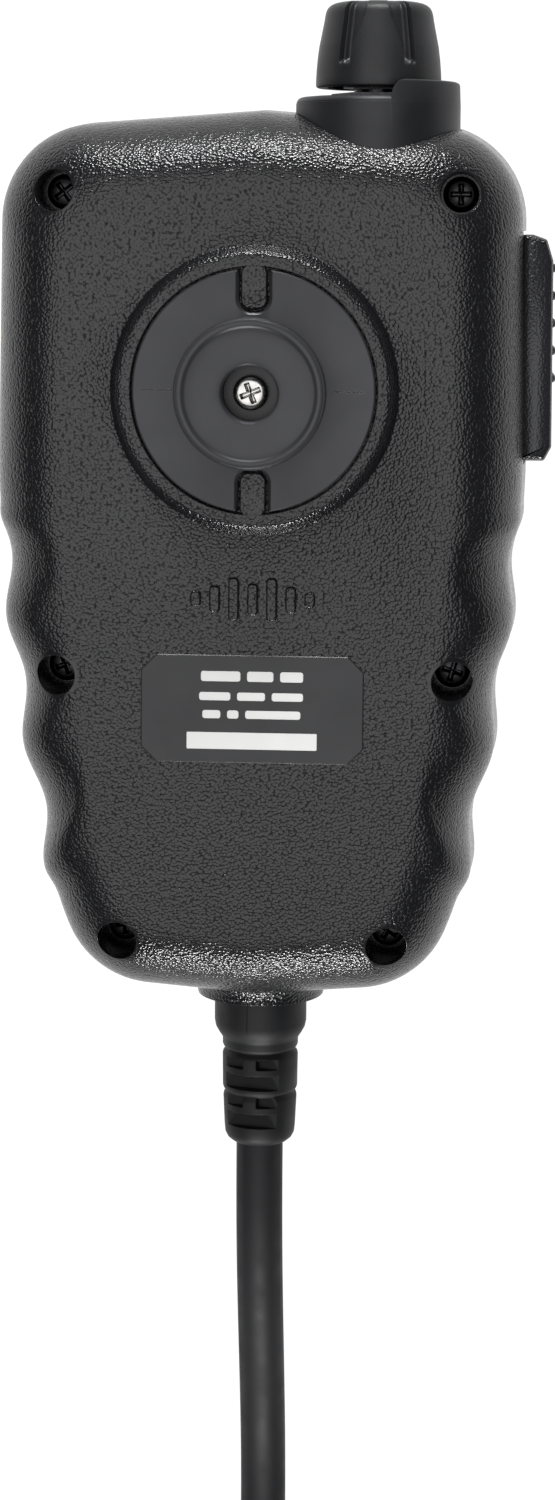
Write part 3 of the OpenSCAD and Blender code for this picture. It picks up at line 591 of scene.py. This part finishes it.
def make_cord():
    route = [*eased(CORD_POINTS), *curl_points()[1:], *eased(TAIL_POINTS)]
    curve = bpy.data.curves.new("cord", "CURVE")
    curve.dimensions = "3D"
    curve.bevel_depth = CORD_D / 2 * MM
    curve.bevel_resolution = 5
    curve.use_fill_caps = True
    line = curve.splines.new("POLY")
    line.points.add(len(route) - 1)
    for spot, point in zip(route, line.points):
        point.co = (*(spot * MM), 1)
    line.use_smooth = True
    cord = bpy.data.objects.new("cord", curve)
    bpy.context.scene.collection.objects.link(cord)
    present(cord, JACKET, "case", ["cord_run", "curly_cord", "cord_tail"])
    length = sum((b - a).length for a, b in zip(route, route[1:])) * MM
    print(f"cord length {length:.3f} m, {len(route)} points")
    return cord


CORD = make_cord()


def make_tie():
    """A woven strap round both runs, with its end lapped over on top."""
    low, high = span("cord_tie")
    inner = CURL_R + CORD_D / 2 + 0.1
    thick, round_r = 0.9, 0.3

    def around(grow, share):
        """The point that share of the way round the strap's inside, moved out by grow."""
        straight, arc = 2 * CURL_BEND, math.pi * inner
        s = share * (2 * straight + 2 * arc)
        if s < straight:
            return Vector((s, CURL_Z + inner + grow))
        if s < straight + arc:
            a = (s - straight) / inner
            return Vector((straight + (inner + grow) * math.sin(a), CURL_Z + (inner + grow) * math.cos(a)))
        if s < 2 * straight + arc:
            return Vector((2 * straight + arc - s, CURL_Z - inner - grow))
        a = (s - 2 * straight - arc) / inner
        return Vector((-(inner + grow) * math.sin(a), CURL_Z - (inner + grow) * math.cos(a)))

    def band(name, shares, lift, y0, y1):
        section = [p for p in rounded_outline(rectangle(y0, y1, 0, thick), round_r, 3)]
        rings = []
        for share in shares:
            spots = [(around(p.y + lift, share), p.x) for p in section]
            rings.append([Vector((spot.x, y, spot.y)) for spot, y in spots])
        return rings

    closed = band("strap", [k / 120 for k in range(120)], 0, low.y, high.y)
    count = len(closed[0])
    points = [p for ring in closed for p in ring]
    faces = []
    for row in range(120):
        for k in range(count):
            here, there, after = row * count, (row + 1) % 120 * count, (k + 1) % count
            faces.append((here + k, here + after, there + after, there + k))
    strap = solid("strap", points, faces)
    lap = loft("lap",
            band("lap", [0.12 + 0.2 * k / 30 for k in range(31)], thick - 0.25, low.y + 0.4, high.y - 0.4))
    tie = join("cord_strap", [strap, lap])
    return present(tie, STRAP, "case", ["cord_tie"])


TIE = make_tie()


def make_plug_boot():
    """The plug's tapered rubber sleeve, with bend-relief ribs towards the cord."""
    low, high = span("plug_boot")
    x, z = (low.x + high.x) / 2, (low.z + high.z) / 2
    steps = 60
    rings = []
    for k in range(steps + 1):
        t = k / steps
        taper = fade((t - 0.15) / 0.85)
        rib = (0.35 * fade(abs(math.sin(t * 5 * math.pi)) * 2)
               * fade((t - 0.35) / 0.1) * fade((1 - t) / 0.04))
        end = 0.5 * (1 - fade(t / 0.03)) + 0.4 * (1 - fade((1 - t) / 0.03))
        half_x = 6.3 - 2.6 * taper + rib - end
        half_z = 4.1 - 0.75 * taper + rib * 0.5 - end
        outline = rounded_outline(rectangle(-half_x, half_x, -half_z, half_z),
                                  min(half_x, half_z) * (0.3 + 0.6 * taper), 8)
        centre_z = z - (z - 4) * taper
        rings.append([Vector((x + p.x, low.y + (high.y - low.y) * t, centre_z + p.y)) for p in outline])
    boot = loft("plug_sleeve", rings)
    return present(boot, BOOT, "case", ["plug_boot"])


PLUG_BOOT = make_plug_boot()


# ---------- shells ----------

def side_path():
    """The right-hand side of the body's outline, evenly spaced from the knob end to the cord end."""
    corners = [(0, TOP - 0.4), (HALF_W - 0.9, TOP - 2.9), (HALF_W - 0.3, -13), (HALF_W - 3.1, -38),
               (HALF_W - 7.3, 13.6 - BOTTOM), (HALF_W - 12.1, 1.7 - BOTTOM), (0, -BOTTOM)]
    spots = [Vector(c) for c in corners]
    path = [spots[0]]
    for k, radius in enumerate([12, 80, 70, 45, 12], 1):
        path += rounded_corner(spots[k - 1], spots[k], spots[k + 1], radius, 24)
    path.append(spots[-1])
    marks = [0.0]
    for a, b in zip(path, path[1:]):
        marks.append(marks[-1] + (b - a).length)
    out, k, count = [], 0, 240
    for i in range(count + 1):
        want = marks[-1] * i / count
        while k < len(path) - 2 and marks[k + 1] < want:
            k += 1
        out.append(path[k].lerp(path[k + 1], min(1.0, (want - marks[k]) / (marks[k + 1] - marks[k]))))
    return out


SIDE = side_path()


def groove(y):
    """The finger grooves' wave, from -1 to 1, faded out at both its ends."""
    wave = math.cos(2 * math.pi * (y - GROOVE_CREST_Y) / GROOVE_PITCH)
    return wave * fade((GROOVE_START_Y - y) / GROOVE_FADE) * fade((y - 11.7 + BOTTOM) / GROOVE_FADE)


def ring(inset, z, depth=GROOVE_DEPTH):
    """The body's outline drawn in by inset at height z."""
    right = [Vector((p.x + groove(p.y) * depth * fade((p.x - 8) / 8), p.y)) for p in SIDE]
    around = right + [Vector((-p.x, p.y)) for p in reversed(right[1:-1])]
    return [Vector((p.x * (1 - inset / HALF_W), MID_Y + (p.y - MID_Y) * (1 - inset / HALF_L), z))
            for p in around]


def shoulder(grow, thick, steps=28, deepen=0.0):
    """Rings round the rounded back edge, whose grooves deepen half-way and end at the back."""
    rings = []
    for k in range(steps + 1):
        a = math.pi / 2 * k / steps
        depth = (GROOVE_DEPTH + deepen * math.sin(a)) * fade((math.pi / 2 - a) / 0.55)
        inset = DRAFT + grow + SHOULDER_IN * (1 - math.cos(a))
        rings.append(ring(inset, BACK - SHOULDER_H + (SHOULDER_H - thick) * math.sin(a), depth))
    return rings


def boot_lip(low_z, high_z):
    """The shells' round lip at the cord, flared into the body, from one height to another."""
    y = -BOTTOM
    profile = [(0, y + 7), (10.6, y + 7), (10.2, y + 4), (9.5, y + 2), (8.9, y + 0.7), (8.45, y - 0.2),
               (8.2, y - 0.8), (8.05, y - SOCKET_OUT), (0, y - SOCKET_OUT)]
    lip = lathe("lip", profile, (0, 0, BOOT_Z), "Y")
    below = block("below", (-20, 20), (y - 5, y + 10), (low_z - 20, low_z))
    above = block("above", (-20, 20), (y - 5, y + 10), (high_z, high_z + 20))
    return carve(lip, [below, above])


def boot_bores():
    y = -BOTTOM
    return [rod("bore", 6.0, y - 5, BOOT_IN + 5, (0, 0, BOOT_Z), "Y"),
            rod("flange_bore", 7.3, BOOT_IN - 2.1, BOOT_IN + 5, (0, 0, BOOT_Z), "Y")]


def lever_opening():
    return block("opening", (HALF_W - 5, HALF_W + 5), (LEVER_LOW.y - 0.5, 19.4),
                 (LEVER_LOW.z - 0.5, LEVER_HIGH.z + 0.5), 0.8)


def knob_pocket(grow=0.0):
    return rod("pocket", COLLAR_R + 0.2 + grow, COLLAR_SEAT - grow, TOP + 9, (KNOB_X, 0, KNOB_Z), "Y")


def shell_bosses(radius, low, high):
    bosses = [rod("boss", radius, low, high, (x, y, 0)) for x, y in SCREWS]
    bosses.append(knob_pocket(WALL))
    bosses.append(rod("socket", 8.6, -BOTTOM - 5, -BOTTOM + 7, (0, 0, BOOT_Z), "Y"))
    return bosses


def hangup_pad():
    """The raised ring round the hang-up button, with the two tongues that fill its slots."""
    profile = [(17.6, BACK - 0.5), (17.6, BACK), (17.35, BACK + 0.07), (17.15, BACK + 0.3),
               (16.75, PAD_TOP - 0.5),
               (16.5, PAD_TOP - 0.2), (16.2, PAD_TOP - 0.05), (15.8, PAD_TOP), (FLANGE_R + 0.3, PAD_TOP),
               (FLANGE_R + 0.2, PAD_TOP - 0.1),
               (FLANGE_R + 0.2, BACK - 0.5)]
    pad = lathe("pad", profile, steps=192)
    tongues = []
    for side in (1, -1):
        outline = rounded_outline(rectangle(-SLOT_W / 2 + 0.25, SLOT_W / 2 - 0.25, SLOT_IN + 0.25,
                                            FLANGE_R + 0.5), 1.1)
        levels = [(0, BACK - 0.5), (0, PAD_TOP - 0.15), (0.15, PAD_TOP - 0.02)]
        turn = Matrix.Rotation(0 if side > 0 else math.pi, 4, "Z")
        tongues.append(slab("tongue", outline, levels, turn))
    return carve(pad, tongues, "UNION")


def level_mark():
    """A row of plain rounded bars like a sound level, raised on the back."""
    heights = [1.8, 3.2, 5.2, 3.8, 5.2, 3.2, 1.8]
    bars = []
    for k, height in enumerate(heights):
        x = (k - 3) * 2.3
        outline = rounded_outline(rectangle(x - 0.62, x + 0.62, -25.2 - height / 2, -25.2 + height / 2),
                                  0.45)
        levels = [(0, BACK - 0.5), (0, BACK + 0.4), (0.15, BACK + 0.55)]
        bars.append(slab("bar", outline, levels))
    return bars


def make_rear_shell():
    rings = [ring(0.3, SPLIT), ring(0, SPLIT + 0.3)]
    rings += [ring(DRAFT * k / 5,
                   SPLIT + 0.3 + (BACK - SHOULDER_H - SPLIT - 0.3) * k / 5) for k in range(1, 5)]
    rings += shoulder(0, 0, deepen=0.55)
    rings.append(ring(DRAFT + SHOULDER_IN + 0.25, BACK, 0))
    shell = loft("rear_shell_skin", rings)
    carve(shell, [boot_lip(SPLIT, BACK), hangup_pad(), *level_mark()], "UNION")
    cavity = loft("cavity", [ring(WALL, SPLIT - 1), *shoulder(WALL, WALL, 8)])
    carve(cavity, [*shell_bosses(4, 10, 40), rod("nut_boss", 5, BACK - WALL - 4.5, BACK + 5)])
    seats = []
    for x, y in SCREWS:
        profile = [(0, SPLIT - 2), (1.4, SPLIT - 2), (1.4, SCREW_SEAT), (ACCESS_R, SCREW_SEAT),
                   (ACCESS_R, BACK + 3),
                   (0, BACK + 3)]
        seats.append(lathe("seat", profile, (x, y, 0), steps=64))
    well = lathe("well",
                 [(0, 27), (3, 27), (3, 30.1), (1.35, 30.1), (1.35, PAD_TOP + 1), (0, PAD_TOP + 1)])
    shank = rod("shank", 3.6, 20, TOP, (KNOB_X, 0, KNOB_Z), "Y")
    carve(shell, [cavity, *seats, well, knob_pocket(), shank, lever_opening(), *boot_bores()])
    return present(shell, SHELL, "case", ["rear_shell"], 32)


def make_front_shell():
    edge = [(3.0, 0), (2.3, 0.08), (1.75, 0.3), (1.25, 0.7), (0.85, 1.3), (0.55, 2.0), (0.35, 2.9),
            (0.25, 4.2)]
    rings = [ring(3.3, 0)] + [ring(inset, z) for inset, z in edge]
    rings += [ring(0, SPLIT - 0.3), ring(0.3, SPLIT)]
    shell = loft("front_shell_skin", rings)
    carve(shell, [boot_lip(0, SPLIT)], "UNION")
    cavity = loft("cavity", [ring(WALL + 0.3, WALL), ring(WALL, SPLIT + 1)])
    stand_offs = [rod("stand_off", 2.5, 0, 5.6, (sx * 25, y, 0)) for y in (12, -26) for sx in (1, -1)]
    carve(cavity, shell_bosses(3.5, -5, 30) + stand_offs)
    low, high = span("display_window")
    holes = [cavity, knob_pocket(), lever_opening(), *boot_bores()]
    holes.append(block("window", (low.x - 0.2, high.x + 0.2), (low.y - 0.2, high.y + 0.2), (-1, high.z),
                       1.2))
    holes.append(block("sight", (low.x + 2, high.x - 2), (low.y + 2, high.y - 2), (-1, WALL + 1), 1))
    for key in KEY_MARKS:
        low, high = span(key)
        holes.append(block("key", (low.x + 0.5, high.x - 0.5), (low.y + 0.5, high.y - 0.5),
                           (-1, WALL + 1), 1.3))
    speaker = centre_of("speaker_mesh")
    for k in range(-3, 4):
        half = 10 - abs(k)
        y = speaker.y + 3.4 * k
        outline = rounded_outline(rectangle(-half, half, y - 0.8, y + 0.8), 0.75)
        levels = [(-0.3, -1), (-0.3, 0), (0, 0.35), (0, WALL + 1)]
        holes.append(slab("slot", outline, levels))
    microphone = centre_of("mic_capsule")
    profile = [(0, -1), (1.3, -1), (1.3, 0), (0.75, 0.55), (0.75, WALL + 1), (0, WALL + 1)]
    holes.append(lathe("hole", profile, (microphone.x, microphone.y, 0), steps=48))
    holes += [rod("thread", 1.35, 7, SPLIT + 5, (x, y, 0), steps=32) for x, y in SCREWS]
    carve(shell, holes)
    return present(shell, SHELL, "case", ["front_shell"], 32)


KEY_MARKS = {"key_up": "up", "key_menu": "dot", "key_scan": "bars", "key_down": "down", "key_mode": "ring",
             "key_light": "cross"}
make_rear_shell()
make_front_shell()


# ---------- screws ----------

def cross_tools(x, y, top, size, turn):
    """The two tapered blades that cut a cross recess."""
    tools = []
    for angle in (turn, turn + 90):
        outline = rounded_outline(rectangle(-size, size, -size * 0.26, size * 0.26), 0.1, 2)
        levels = [(size * 0.2, top - size * 0.85), (0, top - 0.05), (-0.02, top + 0.5)]
        place = Matrix.Translation((x, y, 0)) @ Matrix.Rotation(math.radians(angle), 4, "Z")
        tools.append(slab("blade", outline, levels, place))
    return tools


def screw(name, x, y, tip, seat, shank_r, head_r, head_h, turn):
    """A pan-head screw with a cross recess."""
    top = seat + head_h
    profile = [(0, tip), (shank_r * 0.8, tip), (shank_r, tip + 0.4), (shank_r, seat), (head_r, seat),
               (head_r, seat + head_h * 0.45)]
    profile += [(head_r - 0.7 * (1 - math.cos(a)), seat + head_h * (0.45 + 0.5 * math.sin(a)))
                for a in (0.4, 0.8, 1.2, math.pi / 2)]
    profile += [(head_r * 0.4, top), (0, top)]
    made = lathe(name, profile, (x, y, 0), steps=64)
    return carve(made, cross_tools(x, y, top, head_r * 0.62, turn))


def make_screws():
    tip = span("case_screws")[0].z
    made = [screw("case_screw", x, y, tip, SCREW_SEAT, 1.3, 2.2, 2.0, 37 * k) for k,
            (x, y) in enumerate(SCREWS)]
    # painted shade: the case screws are darkened to stand for the shade down in their wells
    present(join("case_screw_set", made), STEEL_PAINTED_SHADE, "case", ["case_screws"])
    low, high = span("hangup_screw")
    bright = screw("hangup_screw_head", 0, 0, low.z, high.z - 1.8, 1.25, 2.1, 1.8, 22)
    present(bright, STEEL, "case", ["hangup_screw"])


make_screws()


# ---------- hang-up button ----------

def make_button():
    """Flange, neck and dished head in one moulding, with two bevelled slots in the flange."""
    neck = 5.5
    seat = HEAD_TOP - 4
    r = FLANGE_R
    profile = [(1.35, BACK), (r - 0.2, BACK), (r, BACK + 0.2), (r, PAD_TOP - 0.2), (r - 0.2, PAD_TOP),
               (neck + 0.9, PAD_TOP), (neck + 0.35, PAD_TOP + 0.2), (neck, PAD_TOP + 0.8),
               (neck, HEAD_LOW - 0.8),
               (neck + 0.3, HEAD_LOW - 0.2), (neck + 0.9, HEAD_LOW), (8.6, HEAD_LOW),
               (8.9, HEAD_LOW + 0.15),
               (9.0, HEAD_LOW + 0.5), (9.0, HEAD_TOP - 0.75), (8.92, HEAD_TOP - 0.4),
               (8.72, HEAD_TOP - 0.14),
               (8.45, HEAD_TOP - 0.02), (8.15, HEAD_TOP), (7.95, HEAD_TOP - 0.07), (7.8, HEAD_TOP - 0.2),
               (7.55, HEAD_TOP - 0.3), (6.2, HEAD_TOP - 0.38), (4.6, HEAD_TOP - 0.46),
               (3.85, HEAD_TOP - 0.52),
               (3.5, HEAD_TOP - 0.62), (3.3, HEAD_TOP - 0.85), (3.3, seat), (1.35, seat)]
    button = lathe("hangup_button_moulding", profile, steps=192)
    tools = []
    for side in (0, math.pi):
        turn = Matrix.Rotation(side, 4, "Z")
        outline = rounded_outline(rectangle(-SLOT_W / 2, SLOT_W / 2, SLOT_IN, 20), 1.5)
        levels = [(0, BACK - 1), (0, PAD_TOP - 0.45), (-0.22, PAD_TOP - 0.12), (-0.45, PAD_TOP + 0.03),
                  (-0.45, PAD_TOP + 0.5)]
        tools.append(slab("slot", outline, levels, turn))
    for side in (1, -1):
        reach = sorted((side * 9.7, side * 13.4))
        tools.append(block("mould_line", reach, (-0.05, 0.05), (PAD_TOP - 0.05, PAD_TOP + 1)))
    carve(button, tools)
    return present(button, BUTTON, "case", ["hangup_button"], 28)


make_button()


# ---------- knob and collar ----------

FLUTE_LOW = KNOB_FOOT + 3.0
FLUTES = [33, 106, 180]


def fluted(radius, height, angle):
    """The knob's radius with its five flutes, each with a round rib along its steep side."""
    if height < FLUTE_LOW - 0.6:
        return radius
    turned = (math.degrees(angle) + 180) % 360 - 180
    middle = min(FLUTES, key=lambda m: abs(abs(turned) - m))
    off = (abs(turned) - middle) * (1 if middle < 60 else -1)
    up = fade((height - FLUTE_LOW) / (KNOB_TOP - FLUTE_LOW))
    depth = 0.85 * fade((off + 8 + 13 * up) / 3) * fade((5 - off) / 1.6)
    rib = 0.62 * math.exp(-((off - 0.3) / 2.1) ** 2)
    start = fade((height - FLUTE_LOW + 0.5) / 0.9)
    return radius - max(0.0, depth - rib) * start * min(1.0, radius / 6)


def make_knob():
    foot, top = KNOB_FOOT, KNOB_TOP
    profile = [(0, foot), (4.3, foot), (4.3, foot + 3), (6.4, foot + 3), (6.4, foot + 0.1), (6.5, foot),
               (7.45, foot), (7.62, foot + 0.08), (7.7, foot + 0.3)]
    bulge = [(7.68, 1.1), (7.62, 2.2), (7.5, 3.6), (7.32, 5.0), (7.08, 6.2), (6.85, 7.4), (6.66, 8.4)]
    for (r0, h0), (r1, h1) in zip(bulge, bulge[1:]):
        profile += [(r0 + (r1 - r0) * k / 8, foot + h0 + (h1 - h0) * k / 8) for k in range(8)]
    profile += [(6.66, top - 1.95), (6.58, top - 1.45), (6.44, top - 1.0), (6.22, top - 0.66),
                (5.92, top - 0.4),
                (5.5, top - 0.2), (5.0, top - 0.08), (4.2, top - 0.03), (3.0, top), (0, top)]
    knob = lathe("volume_knob_cap", profile, (KNOB_X, 0, KNOB_Z), "Y", 540, fluted)
    tool = rod("shaft_bore", 3.15, foot - 1, top - 3, (KNOB_X, 0, KNOB_Z), "Y")
    carve(knob, [tool])
    return present(knob, KNOB, "knob", ["volume_knob"], 40)


def make_collar():
    r, seat, top = COLLAR_R, COLLAR_SEAT, COLLAR_TOP
    guard = COLLAR_GUARD
    low_rim = [(3.6, seat), (r, seat), (r, top - 0.78), (r - 0.07, top - 0.73), (r - 0.04, top - 0.66),
               (r - 0.12, top - 0.42), (r - 0.32, top - 0.16), (r - 0.6, top - 0.03), (r - 0.9, top),
               (6.75, top), (6.75, TOP - 2), (3.6, TOP - 2)]
    collar = lathe("knob_collar_ring", low_rim, (KNOB_X, 0, KNOB_Z), "Y", 192)
    high_rim = [(8.1, top - 1), (r, top - 1), (r - 0.1, guard - 0.4), (r - 0.2, guard - 0.15),
                (r - 0.45, guard),
                (8.35, guard), (8.15, guard - 0.2)]
    wall = lathe("guard", high_rim, (KNOB_X, 0, KNOB_Z), "Y", 192)
    step = KNOB_X + 1.9
    rise = [(step + 2.2 * (1 - math.cos(t)), top + 0.1 + (guard - top) * math.sin(t))
            for t in [math.pi / 2 * k / 12 for k in range(13)]]
    outline = [(-8, top - 2), (step - 0.1, top - 2), *rise, (step + 2.2, 60), (-8, 60)]
    carve(wall, [loft("step", [[Vector((x, y, z)) for x, y in outline] for z in (0, 50)])])
    carve(collar, [wall], "UNION")
    return present(collar, COLLAR, "case", ["knob_collar"], 30)


make_knob()
make_collar()


# ---------- push-to-talk lever ----------

def make_lever():
    x0, x1 = HALF_W - 1.3, HALF_W + 2.6
    y0, y1 = LEVER_LOW.y, 18.9
    z0, z1 = LEVER_LOW.z, LEVER_HIGH.z
    corners = [(x0, y0), (x1 - 0.9, y0), (x1, y0 + 1.7), (x1 - 0.1, y1 - 3.2), (x1 - 0.9, y1 - 0.6),
               (x1 - 2.6, y1),
               (x0, y1)]
    outline = rounded_outline(corners, 0.45, 5)
    levels = [(0.6, z0), (0.22, z0 + 0.18), (0, z0 + 0.6), (0, z1 - 0.6), (0.22, z1 - 0.18), (0.6, z1)]
    lever = slab("ptt_lever_moulding", outline, levels)
    extras = [block("pivot", (HALF_W - 4, x0 + 0.5), (y0 + 0.9, y0 + 4.9), (z0 + 0.1, z1 - 0.1)),
              block("hook", (HALF_W - 4.2, x0 + 0.5), (y1 - 1.4, y1 - 0.2), (z0 + 2, z1 - 2)),
              lathe("nub", [(0, 0), (2.3, 0), (2.3, 3), (0, 3)], steps=48)]
    extras[2].data.transform(Matrix.Translation(Vector((HALF_W - 3.7, 7, SPLIT)) * MM)
                             @ Matrix.Rotation(math.pi / 2, 4, "Y"))
    for k in range(5):
        half = (z1 - z0) / 2 - 2.5
        profile = [(0, -half), (0.35, -half + 0.05), (0.55, -half + 0.4), (0.55, half - 0.4),
                   (0.35, half - 0.05),
                   (0, half)]
        extras.append(lathe("rib", profile, (x1 - 0.05, 14.8 - 3.4 * k, SPLIT), steps=32))
    carve(lever, extras, "UNION")
    carve(lever, [rod("pin", 1.1, z0 - 1, z1 + 1, (HALF_W - 2.3, y0 + 2.9, 0), steps=32)])
    return present(lever, LEVER, "lever", ["ptt_lever"])


make_lever()


# ---------- strain relief ----------

def make_strain_relief():
    """The ringed rubber sleeve, whose slots lie in staggered rows, turned a little on the cord."""
    y = BOOT_OUT + 19.5
    tip = BOOT_OUT
    profile = [(3.0, BOOT_IN), (7.2, BOOT_IN), (7.2, BOOT_IN - 2), (5.9, BOOT_IN - 2), (5.9, y - 3.6),
               (5.75, y - 4.4),
               (5.3, y - 5.2), (4.95, y - 5.7), (4.85, y - 6.0), (4.85, y - 6.7), (4.72, y - 7.0),
               (4.38, y - 7.3),
               (4.38, y - 7.4), (4.78, y - 7.8), (4.85, y - 8.1)]
    profile += [(4.8, y - 12.2), (4.7, y - 12.5), (4.42, y - 12.8), (4.42, y - 12.9), (4.66, y - 13.25),
                (4.72, y - 13.6), (4.55, tip + 2.2), (4.45, tip + 1.2), (4.15, tip + 0.6),
                (3.6, tip + 0.15),
                (3.3, tip), (3.0, tip)]
    sleeve = lathe("strain_relief_sleeve", profile, (0, 0, BOOT_Z), "Y", 128)
    turn = Matrix.Translation((0, 0, BOOT_Z)) @ Matrix.Rotation(math.radians(BOOT_TURN), 4, "Y")
    tools = []
    for row in range(2):
        narrow, wide = y - 8.55 - 5.0 * row, y - 10.95 - 5.0 * row
        for up in (1, -1):
            z = sorted((up * 3.4, up * 9))
            for side in (1, -1):
                x = sorted((side * 0.85, side * 4.1))
                tools.append(block("slot", x, (narrow - 0.65, narrow + 0.65), z, 0.2, turn))
            tools.append(block("slot", (-4.0, 4.0), (wide - 0.95, wide + 0.95),
                               sorted((up * 3.3, up * 9)), 0.3, turn))
    carve(sleeve, tools)
    seam = block("seam", (-0.06, 0.06), (y - 7, y + 1), (5.82, 9), 0.01, turn)
    carve(sleeve, [seam])
    return present(sleeve, BOOT, "case", ["strain_relief"])


make_strain_relief()


# ---------- label ----------

def make_label():
    low, high = span("rating_label")
    x0, x1, y0, y1 = low.x, high.x, low.y, high.y
    clip = 1.9
    corners = [(x0 + clip, y0), (x1 - clip, y0), (x1, y0 + clip), (x1, y1 - clip), (x1 - clip, y1),
               (x0 + clip, y1),
               (x0, y1 - clip), (x0, y0 + clip)]
    outline = rounded_outline(corners, 0.5, 4)
    plate = slab("label_plate", outline, [(0, BACK), (0, BACK + 0.1), (0.12, BACK + 0.2)])
    present(plate, LABEL, "case", ["rating_label"])
    y = (y0 + y1) / 2
    rows = [(4.0, 0.62, [(-6.2, -1.4), (-0.6, 2.6), (3.4, 6.2)]),
            (1.55, 0.5, [(-6.4, -2.6), (-1.8, 1.6), (2.4, 6.2)]),
            (-0.65, 0.5, [(-6.0, -3.8), (-3.0, -1.6), (-0.8, 5.9)])]
    bars = []
    for up, half, reaches in rows:
        for a, b in reaches:
            outline = rounded_outline(rectangle(a, b, y + up - half, y + up + half), 0.3, 4)
            bars.append(slab("bar", outline, [(0, BACK + 0.18), (0, BACK + 0.22)]))
    outline = rounded_outline(rectangle(-7.9, 7.9, y - 4.9, y - 2.85), 0.12, 2)
    bars.append(slab("panel", outline, [(0, BACK + 0.18), (0, BACK + 0.22)]))
    present(join("label_bars", bars), PRINT, "case")


make_label()


# ---------- keys ----------

def key_symbol(kind, x, y, z):
    """A small generic symbol raised on a key's face."""
    levels = [(0, z + 0.2), (0, z - 0.02)]
    if kind in ("up", "down"):
        s = 1 if kind == "up" else -1
        corners = [(x - 1.3, y - s), (x + 1.3, y - s), (x, y + s * 1.2)]
        corners = corners if s > 0 else corners[::-1]
        return [slab("symbol", rounded_outline(corners, 0.15, 3), levels)]
    if kind == "dot":
        return [rod("symbol", 0.9, z - 0.02, z + 0.2, (x, y, 0), steps=40)]
    if kind == "ring":
        return [lathe("symbol", [(0.8, z - 0.02), (1.2, z - 0.02), (1.2, z + 0.2), (0.8, z + 0.2)],
                      (x, y, 0), steps=40)]
    if kind == "bars":
        return [block("symbol", (x - 1.4, x + 1.4), (y + k * 0.8 - 0.2, y + k * 0.8 + 0.2),
                      (z - 0.02, z + 0.2), 0.12)
                for k in (-1, 0, 1)]
    return [block("symbol", (x - 1.2, x + 1.2), (y - 0.22, y + 0.22), (z - 0.02, z + 0.2), 0.12),
            block("symbol", (x - 0.22, x + 0.22), (y + 0.3, y + 1.2), (z - 0.02, z + 0.2), 0.12),
            block("symbol", (x - 0.22, x + 0.22), (y - 1.2, y - 0.3), (z - 0.02, z + 0.2), 0.12)]


def make_keys():
    for name, kind in KEY_MARKS.items():
        low, high = span(name)
        x, y = (low.x + high.x) / 2, (low.y + high.y) / 2
        cap = rounded_outline(rectangle(low.x + 0.7, high.x - 0.7, low.y + 0.7, high.y - 0.7), 1.2)
        z = low.z
        key = slab(name + "_cap", cap,
                   [(1.1, z + 0.02), (0.55, z + 0.08), (0.2, z + 0.25), (0.03, z + 0.55),
                                        (0, z + 1), (0, high.z)])
        foot = rounded_outline(rectangle(low.x, high.x, low.y, high.y), 1.2)
        carve(key, [slab("foot", foot, [(0, WALL + 0.1), (0, WALL + 1)])], "UNION")
        body = "button_" + name.split("_")[1]
        present(key, KEYS, body, [name])
        present(join(name + "_symbol", key_symbol(kind, x, y, z)), MARKS, body)


make_keys()


# ---------- floor and light ----------

def make_floor():
    size = 3.0
    corners = [(-size, -size, 0), (size, -size, 0), (size, size, 0), (-size, size, 0)]
    floor = solid("floor", [Vector(c) / MM for c in corners], [(0, 1, 2, 3)])
    look = Look("floor_paper", (0.12, 0.12, 0.12), 0.95)
    look.bump(look.noise(3, 2), 0.02)
    look.fill(look.shader, {"Emission Color": (1, 1, 1, 1), "Emission Strength": 0.95})
    floor.data.materials.append(look.material)


def make_light(name, spot, aim, size, power):
    data = bpy.data.lights.new(name, "AREA")
    data.shape = "RECTANGLE"
    data.size, data.size_y = size
    data.energy = power
    lamp = bpy.data.objects.new(name, data)
    bpy.context.scene.collection.objects.link(lamp)
    lamp.location = spot
    lamp.rotation_mode = "QUATERNION"
    lamp.rotation_quaternion = (Vector(aim) - Vector(spot)).to_track_quat("-Z", "Y")


def make_stage():
    make_floor()
    scene = bpy.context.scene
    scene.world = bpy.data.worlds.new("world")
    scene.world.use_nodes = True
    scene.world.node_tree.nodes["Background"].inputs["Color"].default_value = (1, 1, 1, 1)
    scene.world.node_tree.nodes["Background"].inputs["Strength"].default_value = 0.05
    scene.view_settings.view_transform = "Standard"
    middle = (0, -0.02, 0.02)
    make_light("knob_end_strip", (0.0, 0.74, 0.30), middle, (0.3, 0.07), 10)
    make_light("cord_end_strip", (0.0, -0.82, 0.32), middle, (0.3, 0.07), 9)
    make_light("soft_top", (-0.12, 0, 1.1), middle, (1.1, 1.1), 10)


make_stage()
